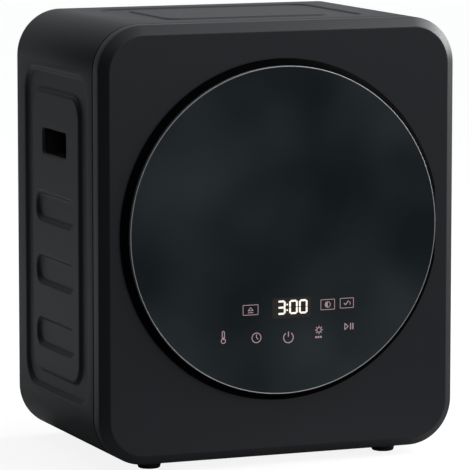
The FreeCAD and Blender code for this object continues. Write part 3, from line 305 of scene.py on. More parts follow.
def fill_between(axis, level, low=at(-FAR, -FAR, -FAR), high=at(FAR, FAR, FAR)):
    def belongs(edge, spot):
        inside = all(low[side] < spot[side] < high[side] for side in range(3))
        return is_open(edge) and inside and abs(spot[axis] - level) < TOUCH * MM

    pick("EDGE", belongs)
    bpy.ops.mesh.fill(use_beauty=True)


print("a right angle with a soft corner has", len(soft([(0, 0), (2, 0), (2, 2)], 1)), "points")

# %% [markdown]
# ## Materials: one pattern for all
# No real surface has a single flat colour: paint has a fine grain, drawn steel has long lines and large
# faces drift slowly in tone. One node group makes all of these from noise on the piece's own coordinates.
# Each material places it with values of its own, so a change to the group reaches every finish. Pictures
# of real surfaces would also do, but a pattern in nodes needs no file and stays sharp at any distance.

# %% The pattern's node group
PATTERN = bpy.data.node_groups.new("wandering pattern", "ShaderNodeTree")
for name in ("Scale", "Detail", "Low", "High"):
    PATTERN.interface.new_socket(name, in_out="INPUT", socket_type="NodeSocketFloat")
PATTERN.interface.new_socket("Stretch", in_out="INPUT", socket_type="NodeSocketVector")
PATTERN.interface.new_socket("Value", in_out="OUTPUT", socket_type="NodeSocketFloat")
nodes, links = PATTERN.nodes, PATTERN.links
given = nodes.new("NodeGroupInput")
place = nodes.new("ShaderNodeTexCoord")
mapping = nodes.new("ShaderNodeMapping")
noise = nodes.new("ShaderNodeTexNoise")
contrast = nodes.new("ShaderNodeMapRange")
result = nodes.new("NodeGroupOutput")
links.new(place.outputs["Object"], mapping.inputs["Vector"])
links.new(given.outputs["Stretch"], mapping.inputs["Scale"])
links.new(mapping.outputs["Vector"], noise.inputs["Vector"])
links.new(given.outputs["Scale"], noise.inputs["Scale"])
links.new(given.outputs["Detail"], noise.inputs["Detail"])
links.new(noise.outputs["Fac"], contrast.inputs["Value"])
links.new(given.outputs["Low"], contrast.inputs["From Min"])
links.new(given.outputs["High"], contrast.inputs["From Max"])
links.new(contrast.outputs["Result"], result.inputs["Value"])
print(PATTERN.name, "takes", [item.name for item in PATTERN.interface.items_tree])

# %% [markdown]
# ## Six ways to use the pattern
# Fine and coarse grain stand for paint and moulded plastic, brushed lines for drawn metal and woven
# fibres for felt and mesh. Two slow drifts vary the tone of large faces. The second one, with more
# contrast, is painted reflection on the glass: its lighter patches stand in for what the glass mirrors.
# The values say how many waves fit into a metre, how they are stretched and which part of the noise is
# used. Six groups could be built instead, but six rows of values are easier to compare.

# %% Values for the pattern
def pattern_values(scale, detail, stretch=(1, 1, 1), low=0.0, high=1.0):
    return {"Scale": scale, "Detail": detail, "Stretch": stretch, "Low": low, "High": high}


GRAIN = pattern_values(900, 3)
COARSE = pattern_values(380, 4)
BRUSHED = pattern_values(260, 4, stretch=(1, 12, 1))
WEAVE = pattern_values(700, 5, stretch=(1, 0.25, 1))
DRIFT = pattern_values(9, 3)
# The broad drift is painted reflection: its lighter patches stand in for what the glass mirrors.
BROAD_PAINTED_REFLECTION = pattern_values(5, 2, low=0.36, high=0.68)


def place_pattern(tree, values):
    group = tree.nodes.new("ShaderNodeGroup")
    group.node_tree = PATTERN
    for name, value in values.items():
        group.inputs[name].default_value = value
    return group.outputs["Value"]


print("finest waves per metre", max(GRAIN["Scale"], COARSE["Scale"], WEAVE["Scale"]))

# %% [markdown]
# ## Materials: one recipe for solids
# Nearly every part of the dryer is plastic, rubber or metal. One recipe covers them: two close shades
# mixed by a slow drift, a roughness that wanders a little and a bump from the chosen grain. The numbers
# then decide whether it reads as matte casing or rolled steel. Building each finish by hand would allow
# more, but so many of them would soon stop looking like parts of one machine.

# %% Recipe for opaque finishes
GRAIN_DEPTH = 0.2
FIRST_COLOUR = 6
SECOND_COLOUR = 7
MIXED_COLOUR = 2


def remap(tree, source, from_low, from_high, to_low, to_high):
    node = tree.nodes.new("ShaderNodeMapRange")
    node.inputs["From Min"].default_value = from_low
    node.inputs["From Max"].default_value = from_high
    node.inputs["To Min"].default_value = to_low
    node.inputs["To Max"].default_value = to_high
    tree.links.new(source, node.inputs["Value"])
    return node.outputs["Result"]


def two_shades(tree, source, dark, light):
    node = tree.nodes.new("ShaderNodeMix")
    node.data_type = "RGBA"
    node.inputs[FIRST_COLOUR].default_value = (*dark, 1)
    node.inputs[SECOND_COLOUR].default_value = (*light, 1)
    tree.links.new(source, node.inputs["Factor"])
    return node.outputs[MIXED_COLOUR]


def new_material(name):
    material = bpy.data.materials.new(name)
    material.use_nodes = True
    return material, material.node_tree, material.node_tree.nodes["Principled BSDF"]


def finish(name, dark, light, rough, grain=GRAIN, bump=0.1, metallic=0.0, drift=DRIFT, specular=0.5,
           tint=(1, 1, 1)):
    material, tree, shader = new_material(name)
    fine = place_pattern(tree, grain)
    tree.links.new(two_shades(tree, place_pattern(tree, drift), dark, light), shader.inputs["Base Color"])
    tree.links.new(remap(tree, fine, 0, 1, *rough), shader.inputs["Roughness"])
    relief = tree.nodes.new("ShaderNodeBump")
    relief.inputs["Strength"].default_value = bump
    relief.inputs["Distance"].default_value = GRAIN_DEPTH * MM
    tree.links.new(fine, relief.inputs["Height"])
    tree.links.new(relief.outputs["Normal"], shader.inputs["Normal"])
    shader.inputs["Metallic"].default_value = metallic
    shader.inputs["Specular IOR Level"].default_value = specular
    shader.inputs["Specular Tint"].default_value = (*tint, 1)
    return material


print("the recipe is ready")

# %% [markdown]
# ## Materials that show on the outside
# The casing is a matte black paint with a hint of blue. The ring round the door is black, but made far
# darker than any paint and almost without shine: painted shade, so that it reads as a shadow line. The trim
# is satin silver. Pure black would be quicker to write, but real black paint still sends back about a
# hundredth of the light, and shapes would vanish.

# %% Outer finishes
CASING = finish("matte casing", (0.0066, 0.0071, 0.0108), (0.0083, 0.0089, 0.0133), (0.40, 0.50), bump=0.06)
REAR_BLACK = finish("grained rear plastic", (0.010, 0.010, 0.011), (0.014, 0.014, 0.015), (0.5, 0.65),
                    COARSE, 0.2)
# The ring's finish is its black plus painted shade: far darker than paint and nearly without sheen.
RING_BLACK_AND_SHADE = finish("deep black with painted shade", (0.0012, 0.0012, 0.0014), (0.0028, 0.0028, 0.0032), (0.30, 0.40),
                    bump=0.02, specular=0.008)
SILVER = finish("satin silver", (0.42, 0.425, 0.43), (0.53, 0.535, 0.54), (0.46, 0.60), BRUSHED, 0.05, 1.0)
RUBBER = finish("black rubber", (0.006, 0.006, 0.006), (0.012, 0.012, 0.012), (0.65, 0.85), COARSE, 0.3)
print(len(bpy.data.materials), "materials so far")

# %% [markdown]
# ## Materials of the inner parts
# Behind the door and the panels are the usual finishes of such a machine: grey plastic, galvanised and
# drawn steel, bronze, aluminium, felt and a little electronics. They come from the same recipe, with more
# contrast between the two shades where the metal is raw. One plain grey would do behind closed panels,
# but the door opens and then several of them show.

# %% Inner finishes
SEAL_GREY = finish("grey seal rubber", (0.05, 0.05, 0.053), (0.075, 0.075, 0.078), (0.5, 0.7), COARSE, 0.2)
GREY = finish("light grey plastic", (0.30, 0.30, 0.31), (0.37, 0.37, 0.38), (0.38, 0.5), GRAIN, 0.1)
DARK_GREY = finish("dark grey plastic", (0.035, 0.036, 0.038), (0.05, 0.051, 0.053), (0.42, 0.56),
                   COARSE, 0.15)
ZINC = finish("galvanised steel", (0.36, 0.37, 0.38), (0.55, 0.56, 0.57), (0.3, 0.5), COARSE, 0.08, 1.0)
DRUM = finish("drum steel", (0.52, 0.52, 0.52), (0.62, 0.62, 0.62), (0.2, 0.34), BRUSHED, 0.06, 1.0)
BRIGHT = finish("turned steel", (0.45, 0.45, 0.46), (0.58, 0.58, 0.59), (0.18, 0.3), BRUSHED, 0.05, 1.0)
BRONZE = finish("bearing bronze", (0.38, 0.22, 0.09), (0.48, 0.3, 0.13), (0.3, 0.45), COARSE, 0.1, 1.0)
ALUMINIUM = finish("cast aluminium", (0.5, 0.5, 0.5), (0.63, 0.63, 0.63), (0.35, 0.5), COARSE, 0.1, 1.0)
FELT = finish("wool felt", (0.16, 0.15, 0.14), (0.24, 0.225, 0.21), (0.9, 1.0), WEAVE, 0.6)
GREEN = finish("circuit board", (0.008, 0.06, 0.025), (0.014, 0.085, 0.035), (0.3, 0.45), COARSE, 0.15)
COPPER = finish("touch copper", (0.55, 0.3, 0.16), (0.65, 0.38, 0.22), (0.25, 0.4), BRUSHED, 0.05, 1.0)
MESH = finish("filter mesh", (0.10, 0.10, 0.11), (0.16, 0.16, 0.17), (0.6, 0.8), WEAVE, 0.5)
print(len(bpy.data.materials), "materials so far")

# %% [markdown]
# ## Every engineering part gets a finish
# Most engineering parts need no new shape, only a finish, because they sit behind panels. The table pairs
# each part with one. Pieces that are made later take the place of the parts that can be seen closely.
# Assigning finishes one by one would do as well, but in a table a forgotten part is easy to spot.

# %% Finishes on the engineering parts
PART_FINISH = {
    CASING: ("outer_shell", "front_frame"),
    REAR_BLACK: ("rear_panel", "exhaust_collar", "cord_gland", "left_hand_cup", "right_hand_cup"),
    RUBBER: ("foot_front_left", "foot_front_right", "foot_rear_left", "foot_rear_right", "drive_belt"),
    DARK_GREY: ("mouth_collar", "hinge_bracket", "run_capacitor", "thermostat", "door_switch",
                "filter_frame", "display_module", "fan_impeller"),
    SEAL_GREY: ("door_seal", "door_liner"),
    ZINC: ("front_bulkhead", "rear_bulkhead", "heater_box", "motor_bracket", "bearing_housing",
           "motor_stator"),
    FELT: ("felt_ring",),
    BRONZE: ("drum_bush",),
    ALUMINIUM: ("heater_element", "drive_pulley"),
    GREY: ("lint_duct", "blower_housing", "filter_housing", "board_tray", "lifter_1", "lifter_2",
           "lifter_3"),
    BRIGHT: ("motor_shaft", "drum_shaft", "shaft_clip", "hinge_pin", "rear_screws", "door_screws",
             "catch_plates", "door_magnets"),
    GREEN: ("power_board", "display_board"),
    COPPER: ("touch_pads",),
    RING_BLACK_AND_SHADE: ("door_ring", "door_glass", "door_window"),
    SILVER: ("door_trim",),
    DRUM: ("drum_shell", "drum_back"),
    MESH: ("filter_screens",),
}
for material, names in PART_FINISH.items():
    for name in names:
        part = bpy.data.objects[name]
        if part.material_slots:
            part.material_slots[0].material = material
        else:
            part.data.materials.append(material)
print(sum(len(names) for names in PART_FINISH.values()), "parts have a finish")

# %% [markdown]
# ## The cabinet wrap
# The casing is one sheet folded round the dryer, with large round corners. A cube of the right size loses
# its front and back, and a bevel on the four long edges makes the corners. Extruding an outline would
# give the same tube, but the cube already has flat sides that can be opened, because the pressed patterns
# of the sides and the top are made apart and filled in.

# %% Fold the wrap
CORNER = 60.0
CORNER_STEPS = 24
WALL = 3.0
FLAT = 0.99999


def runs_back(edge, spot):
    return abs(edge.verts[0].co.y - edge.verts[1].co.y) > TOUCH * MM


start_fresh()
bpy.ops.mesh.primitive_cube_add(size=1, location=(at(0, SHELL_FRONT, 0) + at(0, SHELL_REAR, HEIGHT)) / 2)
shell = bpy.context.object
shell.scale = (2 * HALF_WIDTH * MM, (SHELL_REAR - SHELL_FRONT) * MM, HEIGHT * MM)
apply_place()
edit(shell)
pick("FACE", lambda face, spot: abs(face.normal.y) > FLAT)
bpy.ops.mesh.delete(type="ONLY_FACE")
pick("EDGE", runs_back)
bpy.ops.mesh.bevel(offset=CORNER * MM, segments=CORNER_STEPS, affect="EDGES")
pick("FACE", lambda face, spot: abs(face.normal.x) > FLAT or face.normal.z > FLAT)
bpy.ops.mesh.delete(type="ONLY_FACE")
print("wrap has", face_count(shell), "faces before its patterns")

# %% [markdown]
# ## The plan of a side
# Each side carries a broad sunk border, a plate that comes back to the wall's level, three long pads sunk
# into the plate and the slot for a hand. On the real machine these stiffen the thin sheet. Each area is
# written as front, rear, bottom, top and corner radius, and each rim as a profile that slopes at 45
# degrees between soft bends. Bump in the material would be cheaper, but the rims show in the outline of
# the side's highlights.

# %% Areas and rims of a side
SINK = 4.5
RIM = 3.0
BEND = 4.5
HOLD_WIDE = 89.0
HOLD_TALL = 32.4
HOLD_BEVEL = 2.4
HOLD_DEEP = 7.0
PAD_TALL = 38.5
SLOPE = soft([(0, 0), (RIM, 0), (RIM + SINK, -SINK), (2 * RIM + SINK, -SINK)], BEND)
RISE = soft([(0, 0), (RIM, 0), (RIM + SINK, SINK), (2 * RIM + SINK, SINK)], BEND)
SLOT = soft([(0, 0), (RIM, 0), (RIM + HOLD_BEVEL, -HOLD_BEVEL), (RIM + HOLD_BEVEL + 0.1, -HOLD_DEEP)], 0.8)
BORDER = (50.0, SHELL_REAR - 30.0, 70.0, HEIGHT - 68.0, 34.0)
PLATE = (84.0, SHELL_REAR - 62.0, 95.0, HEIGHT - 99.0, 26.0)
hold = middle("left_hand_cup")
HOLD = (hold.y - HOLD_WIDE / 2, hold.y + HOLD_WIDE / 2, hold.z - HOLD_TALL / 2, hold.z + HOLD_TALL / 2, 5.0)
lowest_pad, highest_pad = PLATE[2] + 49.5, hold.z - 86.5
PADS = [(PLATE[0] + 17.0, PLATE[1] - 11.0, level - PAD_TALL / 2, level + PAD_TALL / 2, 17.0)
        for level in (lowest_pad, (lowest_pad + highest_pad) / 2, highest_pad)]
BETWEEN = [(outer + inner) / 2 for outer, inner in zip(BORDER, PLATE)]
print(len(PADS), "pads between", lowest_pad, "and", highest_pad)

# %% [markdown]
# ## Pressing the sides
# Every area becomes a sheet that follows its rim, and its floor is cut out where another area lies inside
# it. The flats between them are filled last, so they stay perfectly flat. The right side is the left one
# seen in a mirror. A mirror modifier could make it, but the wrap is one piece, so the same steps run
# twice.

# %% Press both sides
def side_sheet(facing, x, area, grow):
    front, rear, low, high, radius = area
    first, last = at(x, front - grow, low - grow), at(x, rear + grow, high + grow)
    return sheet(facing, first, last, radius + grow)


def press_side(facing, sign):
    wall, floor = sign * HALF_WIDTH, sign * (HALF_WIDTH - SINK)
    border = side_sheet(facing, wall, BORDER, RIM)
    follow(SLOPE)
    cut_floor()
    edit(join(shell, border))
    fill_between(0, wall * MM)
    plate = side_sheet(facing, floor, PLATE, RIM + SINK)
    follow(RISE)
    cut_floor()
    edit(join(shell, plate))
    fill_between(0, floor * MM)
    pressed = []
    for pad in PADS:
        pressed.append(side_sheet(facing, wall, pad, RIM))
        follow(SLOPE)
    pressed.append(side_sheet(facing, wall, HOLD, RIM + HOLD_BEVEL))
    follow(SLOT)
    cut_floor()
    edit(join(shell, *pressed))
    front, rear, low, high = BETWEEN[:4]
    fill_between(0, wall * MM, at(-FAR, front, low), at(FAR, rear, high))
    print(facing, "side pressed,", face_count(shell), "faces")


press_side("left", -1)
press_side("right", 1)

# %% [markdown]
# ## The top, and the thickness of the sheet
# The top has the same border and plate, only shallower. After that the seams are welded, the sheet is
# given its thickness inwards and the cut edges get a small bevel, which is what catches the light along a
# seam. Modelling the inner wall by hand would double the work, and Solidify keeps it even.

# %% Press the top and thicken the wrap
TOP_SINK = 2.0
TOP_BEND = 3.5
TOP_BORDER = (HALF_WIDTH - 95.0, 70.0, SHELL_REAR - 32.0, 24.0)
TOP_PLATE = (HALF_WIDTH - 131.0, 101.0, SHELL_REAR - 63.0, 18.0)
EDGE_BEVEL = 0.7
TOP_SLOPE = soft([(0, 0), (RIM, 0), (RIM + TOP_SINK, -TOP_SINK), (2 * RIM + TOP_SINK, -TOP_SINK)], TOP_BEND)
TOP_RISE = soft([(0, 0), (RIM, 0), (RIM + TOP_SINK, TOP_SINK), (2 * RIM + TOP_SINK, TOP_SINK)], TOP_BEND)


def top_sheet(level, area, grow):
    half, front, rear, radius = area
    first, last = at(-half - grow, front - grow, level), at(half + grow, rear + grow, level)
    return sheet("top", first, last, radius + grow)


top_border = top_sheet(HEIGHT, TOP_BORDER, RIM)
follow(TOP_SLOPE)
cut_floor()
edit(join(shell, top_border))
fill_between(2, BASE + HEIGHT * MM)
top_plate = top_sheet(HEIGHT - TOP_SINK, TOP_PLATE, RIM + TOP_SINK)
follow(TOP_RISE)
edit(join(shell, top_plate))
fill_between(2, BASE + (HEIGHT - TOP_SINK) * MM)
weld(shell)
modify(shell, "SOLIDIFY", thickness=WALL * MM, offset=-1, use_even_offset=True)
modify(shell, "BEVEL", width=EDGE_BEVEL * MM, segments=3, limit_method="ANGLE",
       angle_limit=math.radians(60))
keep(shell, "cabinet_wrap", "cabinet", CASING, "cabinet_black", "outer_shell")

# %% [markdown]
# ## The front frame
# The front is a deep-drawn panel. Its edge is a wide chamfer with soft corners, and behind the chamfer a
# short side runs back to a narrow groove, where a hidden lip enters the wrap. The outline is a
# round-cornered sheet inset along that profile, and its open edge is extruded backwards and narrowed step
# by step. A bevelled box would be quicker, but it can't give a chamfer that is wider than it is deep.

# %% Draw the frame's edge
CHAMFER_WIDE = 12.0
CHAMFER_DEEP = 10.0
CHAMFER_BEND = 2.2
EDGE_START = 13.0
SEAM_GAP = 2.5
SEAM_ROUND = 0.8
LIP_INSET = WALL + 0.3
FRAME_REAR = SHELL_FRONT - SEAM_GAP
LIP_REAR = measured("front_frame")[1].y
panel = sheet("front", at(-HALF_WIDTH, EDGE_START, 0), at(HALF_WIDTH, EDGE_START, HEIGHT), CORNER,
              CORNER_STEPS)
corner_run = [(0, 0), (0, EDGE_START - CHAMFER_DEEP), (CHAMFER_WIDE, EDGE_START),
              (CHAMFER_WIDE + 3, EDGE_START)]
follow(soft(corner_run, CHAMFER_BEND, 5))
cut_floor()
edge_plane = at(0, EDGE_START, 0).y
pick("EDGE", lambda edge, spot: is_open(edge) and abs(spot.y - edge_plane) < TOUCH * MM)
edge_run = [(0, EDGE_START), (0, FRAME_REAR - SEAM_ROUND), (0.25, FRAME_REAR - 0.2),
            (SEAM_ROUND, FRAME_REAR), (LIP_INSET, FRAME_REAR), (LIP_INSET, LIP_REAR)]
for (inset, depth), (next_inset, next_depth) in zip(edge_run, edge_run[1:]):
    bpy.ops.mesh.extrude_edges_move(TRANSFORM_OT_translate={"value": (0, (next_depth - depth) * MM, 0)})
    wide = (HALF_WIDTH - next_inset) / (HALF_WIDTH - inset)
    tall = (HEIGHT / 2 - next_inset) / (HEIGHT / 2 - inset)
    bpy.ops.transform.resize(value=(wide, 1, tall), center_override=at(0, 0, HEIGHT / 2))
print("frame edge has", face_count(panel), "faces")

# %% [markdown]
# ## The port in the front
# The drum's mouth and the hinge's slot are holes in the flat front. Each is a sheet of its own whose face
# is followed inwards over a small rounded edge and then cut out. Filling between the outlines closes the
# panel. A boolean could punch the holes, but it would leave their edges sharp and the flat front full of
# slivers.

# %% Cut the port and the hinge slot
PORT_RADIUS = 176.0
PORT_EDGE = 2.0
EDGE_DEEP = 2.8
SLOT_HALF_WIDE = 3.1
SLOT_HALF_TALL = 12.6
SLOT_EDGE = 0.8
PANEL_WALL = 2.6
HINGE_X = middle("hinge_pin").x


def round_hole(facing, centre, radius, rim, edge_run, vertices):
    start_fresh()
    bpy.ops.mesh.primitive_circle_add(vertices=vertices, radius=(radius + rim) * MM, fill_type="NGON",
                                      location=centre, rotation=turn_to(facing))
    piece = bpy.context.object
    apply_place()
    edit(piece)
    pick_all("FACE")
    follow(edge_run)
    cut_floor()
    return piece


port_edge = soft([(0, 0), (PORT_EDGE, 0), (PORT_EDGE + 0.05, -EDGE_DEEP)], 1.2)
port = round_hole("front", at(0, 0, DOOR_LEVEL), PORT_RADIUS, PORT_EDGE, port_edge, 144)
slot_wide, slot_tall = SLOT_HALF_WIDE + SLOT_EDGE, SLOT_HALF_TALL + SLOT_EDGE
slot_low = at(HINGE_X - slot_wide, 0, DOOR_LEVEL - slot_tall)
slot_high = at(HINGE_X + slot_wide, 0, DOOR_LEVEL + slot_tall)
hinge_slot = sheet("front", slot_low, slot_high, 1.2, 3)
follow(soft([(0, 0), (SLOT_EDGE, 0), (SLOT_EDGE + 0.05, -EDGE_DEEP)], 0.6, 3))
cut_floor()
edit(join(panel, port, hinge_slot))
fill_between(1, FRONT)
weld(panel)
modify(panel, "SOLIDIFY", thickness=PANEL_WALL * MM, offset=-1, use_even_offset=True)
keep(panel, "front_panel", "cabinet", CASING, "cabinet_black", "front_frame")

# %% [markdown]
# ## Turned parts
# Many parts are round about the door's centre line. A circle is extruded along a profile and resized at
# every step, which is the same as turning it on a lathe, and the last ring is welded to the first.
# Spinning a drawn profile would give the same shape, but it leaves a seam and a pole that then have to be
# closed.

# %% Helpers for turned parts
def turned(profile, x=0.0, z=DOOR_LEVEL, closed=True, vertices=144):
    start_fresh()
    centre = at(x, 0, z)
    radius, depth = profile[0]
    bpy.ops.mesh.primitive_circle_add(vertices=vertices, radius=radius * MM, location=at(x, depth, z),
                                      rotation=turn_to("front"))
    piece = bpy.context.object
    apply_place()
    edit(piece)
    bpy.ops.mesh.select_all(action="SELECT")
    for next_radius, next_depth in profile[1:] + ([profile[0]] if closed else []):
        bpy.ops.mesh.extrude_edges_move(TRANSFORM_OT_translate={"value": (0, (next_depth - depth) * MM, 0)})
        scale = next_radius / radius
        bpy.ops.transform.resize(value=(scale, 1, scale), center_override=centre)
        radius, depth = next_radius, next_depth
    if not closed:
        bpy.ops.mesh.select_all(action="SELECT")
        bpy.ops.mesh.fill_holes(sides=0)
    weld(piece)
    return piece


def loop(points, radius, steps=3):
    run = soft([points[-1], *points, points[0]], radius, steps)
    return [tuple(point) for point in run[1:-1]]


print("a square loop with soft corners has", len(loop([(0, 0), (4, 0), (4, 4), (0, 4)], 1)), "points")

# %% [markdown]
# ## The door's ring
# The door's edge is a black ring that flares towards the cabinet, darkened further with painted shade so
# that it reads as the shadow line round the door. Beside the hinge it is cut away so that it can swing: one
# block takes the relief out, and a second one the notch for the hinge's knuckle. The ring is turned whole
# first, because a lathe shape with a gap in it can't be closed round its axis.

# %% Turn the ring
RING_INNER = 196.0
RING_SHOULDER = 211.2
RING_FRONT = -7.6
RING_FLANK = -3.2
ring_low, ring_high = measured("door_ring")
RING_OUTER = -ring_low.x
DOOR_REAR = ring_high.y
KNUCKLE_CLEAR = 4.2
KNUCKLE_HALF = 12.3
RELIEF_HALF = 72.0
RELIEF_FRONT = -10.7
ROUND_STEPS = 192


def clear_hinge(piece, start, front, half_tall):
    low = at(start, front, DOOR_LEVEL - half_tall)
    cut_block(piece, low, at(RING_OUTER + 12.5, 1, DOOR_LEVEL + half_tall))


ring_run = [(RING_INNER, RING_FRONT), (RING_SHOULDER, RING_FRONT), (RING_OUTER, RING_FLANK),
            (RING_OUTER, DOOR_REAR), (RING_INNER, DOOR_REAR)]
ring = turned(loop(ring_run, 0.7), vertices=ROUND_STEPS)
clear_hinge(ring, ring_high.x, RELIEF_FRONT, RELIEF_HALF)
clear_hinge(ring, HINGE_X - KNUCKLE_CLEAR, RELIEF_FRONT, KNUCKLE_HALF)
# The ring gets the black finish that carries painted shade.
keep(ring, "door_flank", "door", RING_BLACK_AND_SHADE, "ring_gloss", "door_ring", angle=30)

# %% [markdown]
# ## The silver trim
# A thin silver lip stands between the ring and the glass and draws the bright circle that marks the door.
# It is turned like the ring, with tiny soft edges, since a sharp edge on metal never catches the light. A
# torus would be quicker, but the lip is much deeper than it is thick. Next to the hinge's bracket its
# rear is cut back.

# %% Turn the trim
TRIM_INNER = 209.3
TRIM_OUTER = 210.6
TRIM_REAR = -7.2
BRACKET_FRONT = -10.4
BRACKET_HALF = 37.0
DOOR_FRONT = measured("door_trim")[0].y
trim_run = [(TRIM_INNER, TRIM_REAR), (TRIM_INNER, DOOR_FRONT), (TRIM_OUTER, DOOR_FRONT),
            (TRIM_OUTER, TRIM_REAR)]
trim = turned(loop(trim_run, 0.5), vertices=ROUND_STEPS)
clear_hinge(trim, HINGE_X - KNUCKLE_CLEAR, BRACKET_FRONT, BRACKET_HALF)
keep(trim, "door_rim", "door", SILVER, "trim_silver", "door_trim", angle=50)

# %% [markdown]
# ## The dark glass
# The glass is a thin disc with a polished edge, nearly black and a little teal. Transmission would make
# it truly clear, but on such doors a dark print behind it hides the electronics, so an opaque deep colour
# is closer and quicker to render. A broad drift to a lighter shade lies over the large disc: painted
# reflection, standing in for what the glass mirrors. The front sits a tenth of a millimetre back, which
# leaves room for the lit marks to lie flush.

# %% Turn the glass
GLASS_RADIUS = 209.2
GLASS_CENTRE = 205.0
GLASS_BACK = -10.6
GLASS_FRONT = DOOR_FRONT + 0.1
POLISH = 0.2
# Dark teal is the glass's own colour; the broad drift to the lighter shade is painted reflection.
GLASS_AND_PAINTED_REFLECTION = finish("dark glass and painted reflection", (0.0085, 0.0122, 0.0146), (0.0400, 0.0478, 0.0525), (0.03, 0.06), bump=0.0,
               drift=BROAD_PAINTED_REFLECTION, tint=(0.84, 1.0, 1.0))
glass_run = [(GLASS_CENTRE, GLASS_BACK), (GLASS_RADIUS, GLASS_BACK), (GLASS_RADIUS, GLASS_FRONT + POLISH),
             (GLASS_RADIUS - POLISH, GLASS_FRONT), (GLASS_CENTRE, GLASS_FRONT)]
glass = turned(glass_run, closed=False, vertices=ROUND_STEPS)
keep(glass, "front_glass", "door", GLASS_AND_PAINTED_REFLECTION, "door_glass", "door_glass")

# %% [markdown]
# ## Light behind the glass
# The time and the touch keys shine through the glass from small lamps on the board behind it. Each kind
# of mark gets a glowing material: warm white for the time, a dull rose for the keys and almost nothing
# for the pane round the time. Lamps behind real glass would do it too, but they would cost much more to
# render.

# %% Glowing materials
DIMMEST = 0.8
PRINT_BLACK = (0.004, 0.004, 0.004, 1)


def glow(name, colour, strength):
    material, tree, shader = new_material(name)
    dimmer = [part * DIMMEST for part in colour]
    shades = two_shades(tree, place_pattern(tree, GRAIN), dimmer, colour)
    tree.links.new(shades, shader.inputs["Emission Color"])
    shader.inputs["Base Color"].default_value = PRINT_BLACK
    shader.inputs["Emission Strength"].default_value = strength
    return material


TIME_GLOW = glow("time glow", (1.0, 0.93, 0.84), 1.3)
KEY_GLOW = glow("key glow", (0.62, 0.42, 0.45), 0.66)
WINDOW_GLOW = glow("window glow", (0.030, 0.022, 0.018), 0.3)
print("glowing materials", TIME_GLOW.name, KEY_GLOW.name, WINDOW_GLOW.name)

# %% [markdown]
# ## Straight strokes for the marks
# Bars, hoops and frames are enough to draw all the marks. Each stroke is a flat shape a tenth of a
# millimetre thick, and its place is counted across and up from a point close to the door's centre. A bar
# is a cube with soft corners that is turned by its angle. An emissive picture would be one piece only,
# but strokes stay sharp at any distance and need no file.

# %% Helpers for bars
MARK_FRONT = DOOR_FRONT + 0.01
MARK_BACK = GLASS_FRONT + 0.02
MARK_LEVEL = DOOR_LEVEL + 1.2
MARK_SHIFT = 1.0


def on_glass(x, depth, z):
    return at(x + MARK_SHIFT, depth, MARK_LEVEL + z)


def bar(x, z, long, wide, angle=0.0, tip=0.3):
    start_fresh()
    bpy.ops.mesh.primitive_cube_add(size=1, location=on_glass(x, (MARK_FRONT + MARK_BACK) / 2, z),
                                    rotation=(0, -math.radians(angle), 0))
    piece = bpy.context.object
    piece.scale = (long * MM, (MARK_BACK - MARK_FRONT) * MM, wide * MM)
    bpy.ops.object.transform_apply(location=False, rotation=False, scale=True)
    edit(piece)
    pick("EDGE", runs_back)
    bpy.ops.mesh.bevel(offset=tip * MM, segments=2, affect="EDGES")
    start_fresh(piece)
    apply_place()
    return piece


print(f"strokes are {MARK_BACK - MARK_FRONT:.2f} mm thick")

# %% [markdown]
# ## Round strokes and frames
# A hoop is turned like the ring of the door, only much smaller. Where it has to stay open, the faces
# outside a range of angles are deleted and the two cut ends are filled. A frame is a sheet with round
# corners that keeps only its rim. Bent tubes could draw both, but a printed mark is flat.

# %% Helpers for hoops and frames
WHOLE = 360.0


def hoop(x, z, radius, wide, start=0.0, end=WHOLE):
    outer, inner = radius + wide / 2, radius - wide / 2
    run = [(inner, MARK_BACK), (inner, MARK_FRONT), (outer, MARK_FRONT), (outer, MARK_BACK)]
    piece = turned(run, x + MARK_SHIFT, MARK_LEVEL + z, vertices=32)
    if end - start < WHOLE:
        centre = on_glass(x, 0, z)

        def outside(face, spot):
            angle = math.degrees(math.atan2(spot.z - centre.z, spot.x - centre.x))
            return (angle - start) % WHOLE > end - start

        edit(piece)
        pick("FACE", outside)
        bpy.ops.mesh.delete(type="FACE")
        bpy.ops.mesh.select_all(action="SELECT")
        bpy.ops.mesh.fill_holes(sides=4)
        start_fresh()
    return piece


def rounded_frame(x, z, wide, tall, line=0.8, radius=0.8):
    low = on_glass(x - wide / 2, MARK_FRONT, z - tall / 2)
    high = on_glass(x + wide / 2, MARK_FRONT, z + tall / 2)
    piece = sheet("front", low, high, radius, 3)
    bpy.ops.mesh.inset(thickness=line * MM)
    bpy.ops.mesh.delete(type="FACE")
    modify(piece, "SOLIDIFY", thickness=(MARK_BACK - MARK_FRONT) * MM, offset=-1)
    return piece


print("ready to draw hoops and frames")

# %% [markdown]
# ## The time
# The display shows the hours and minutes left. Each digit has up to seven bars with cut corners, as on
# any such display: the three uses five of them and the zero six. Two dots stand between hours and
# minutes. Text set in a typeface would be rounder than what the real display can show.

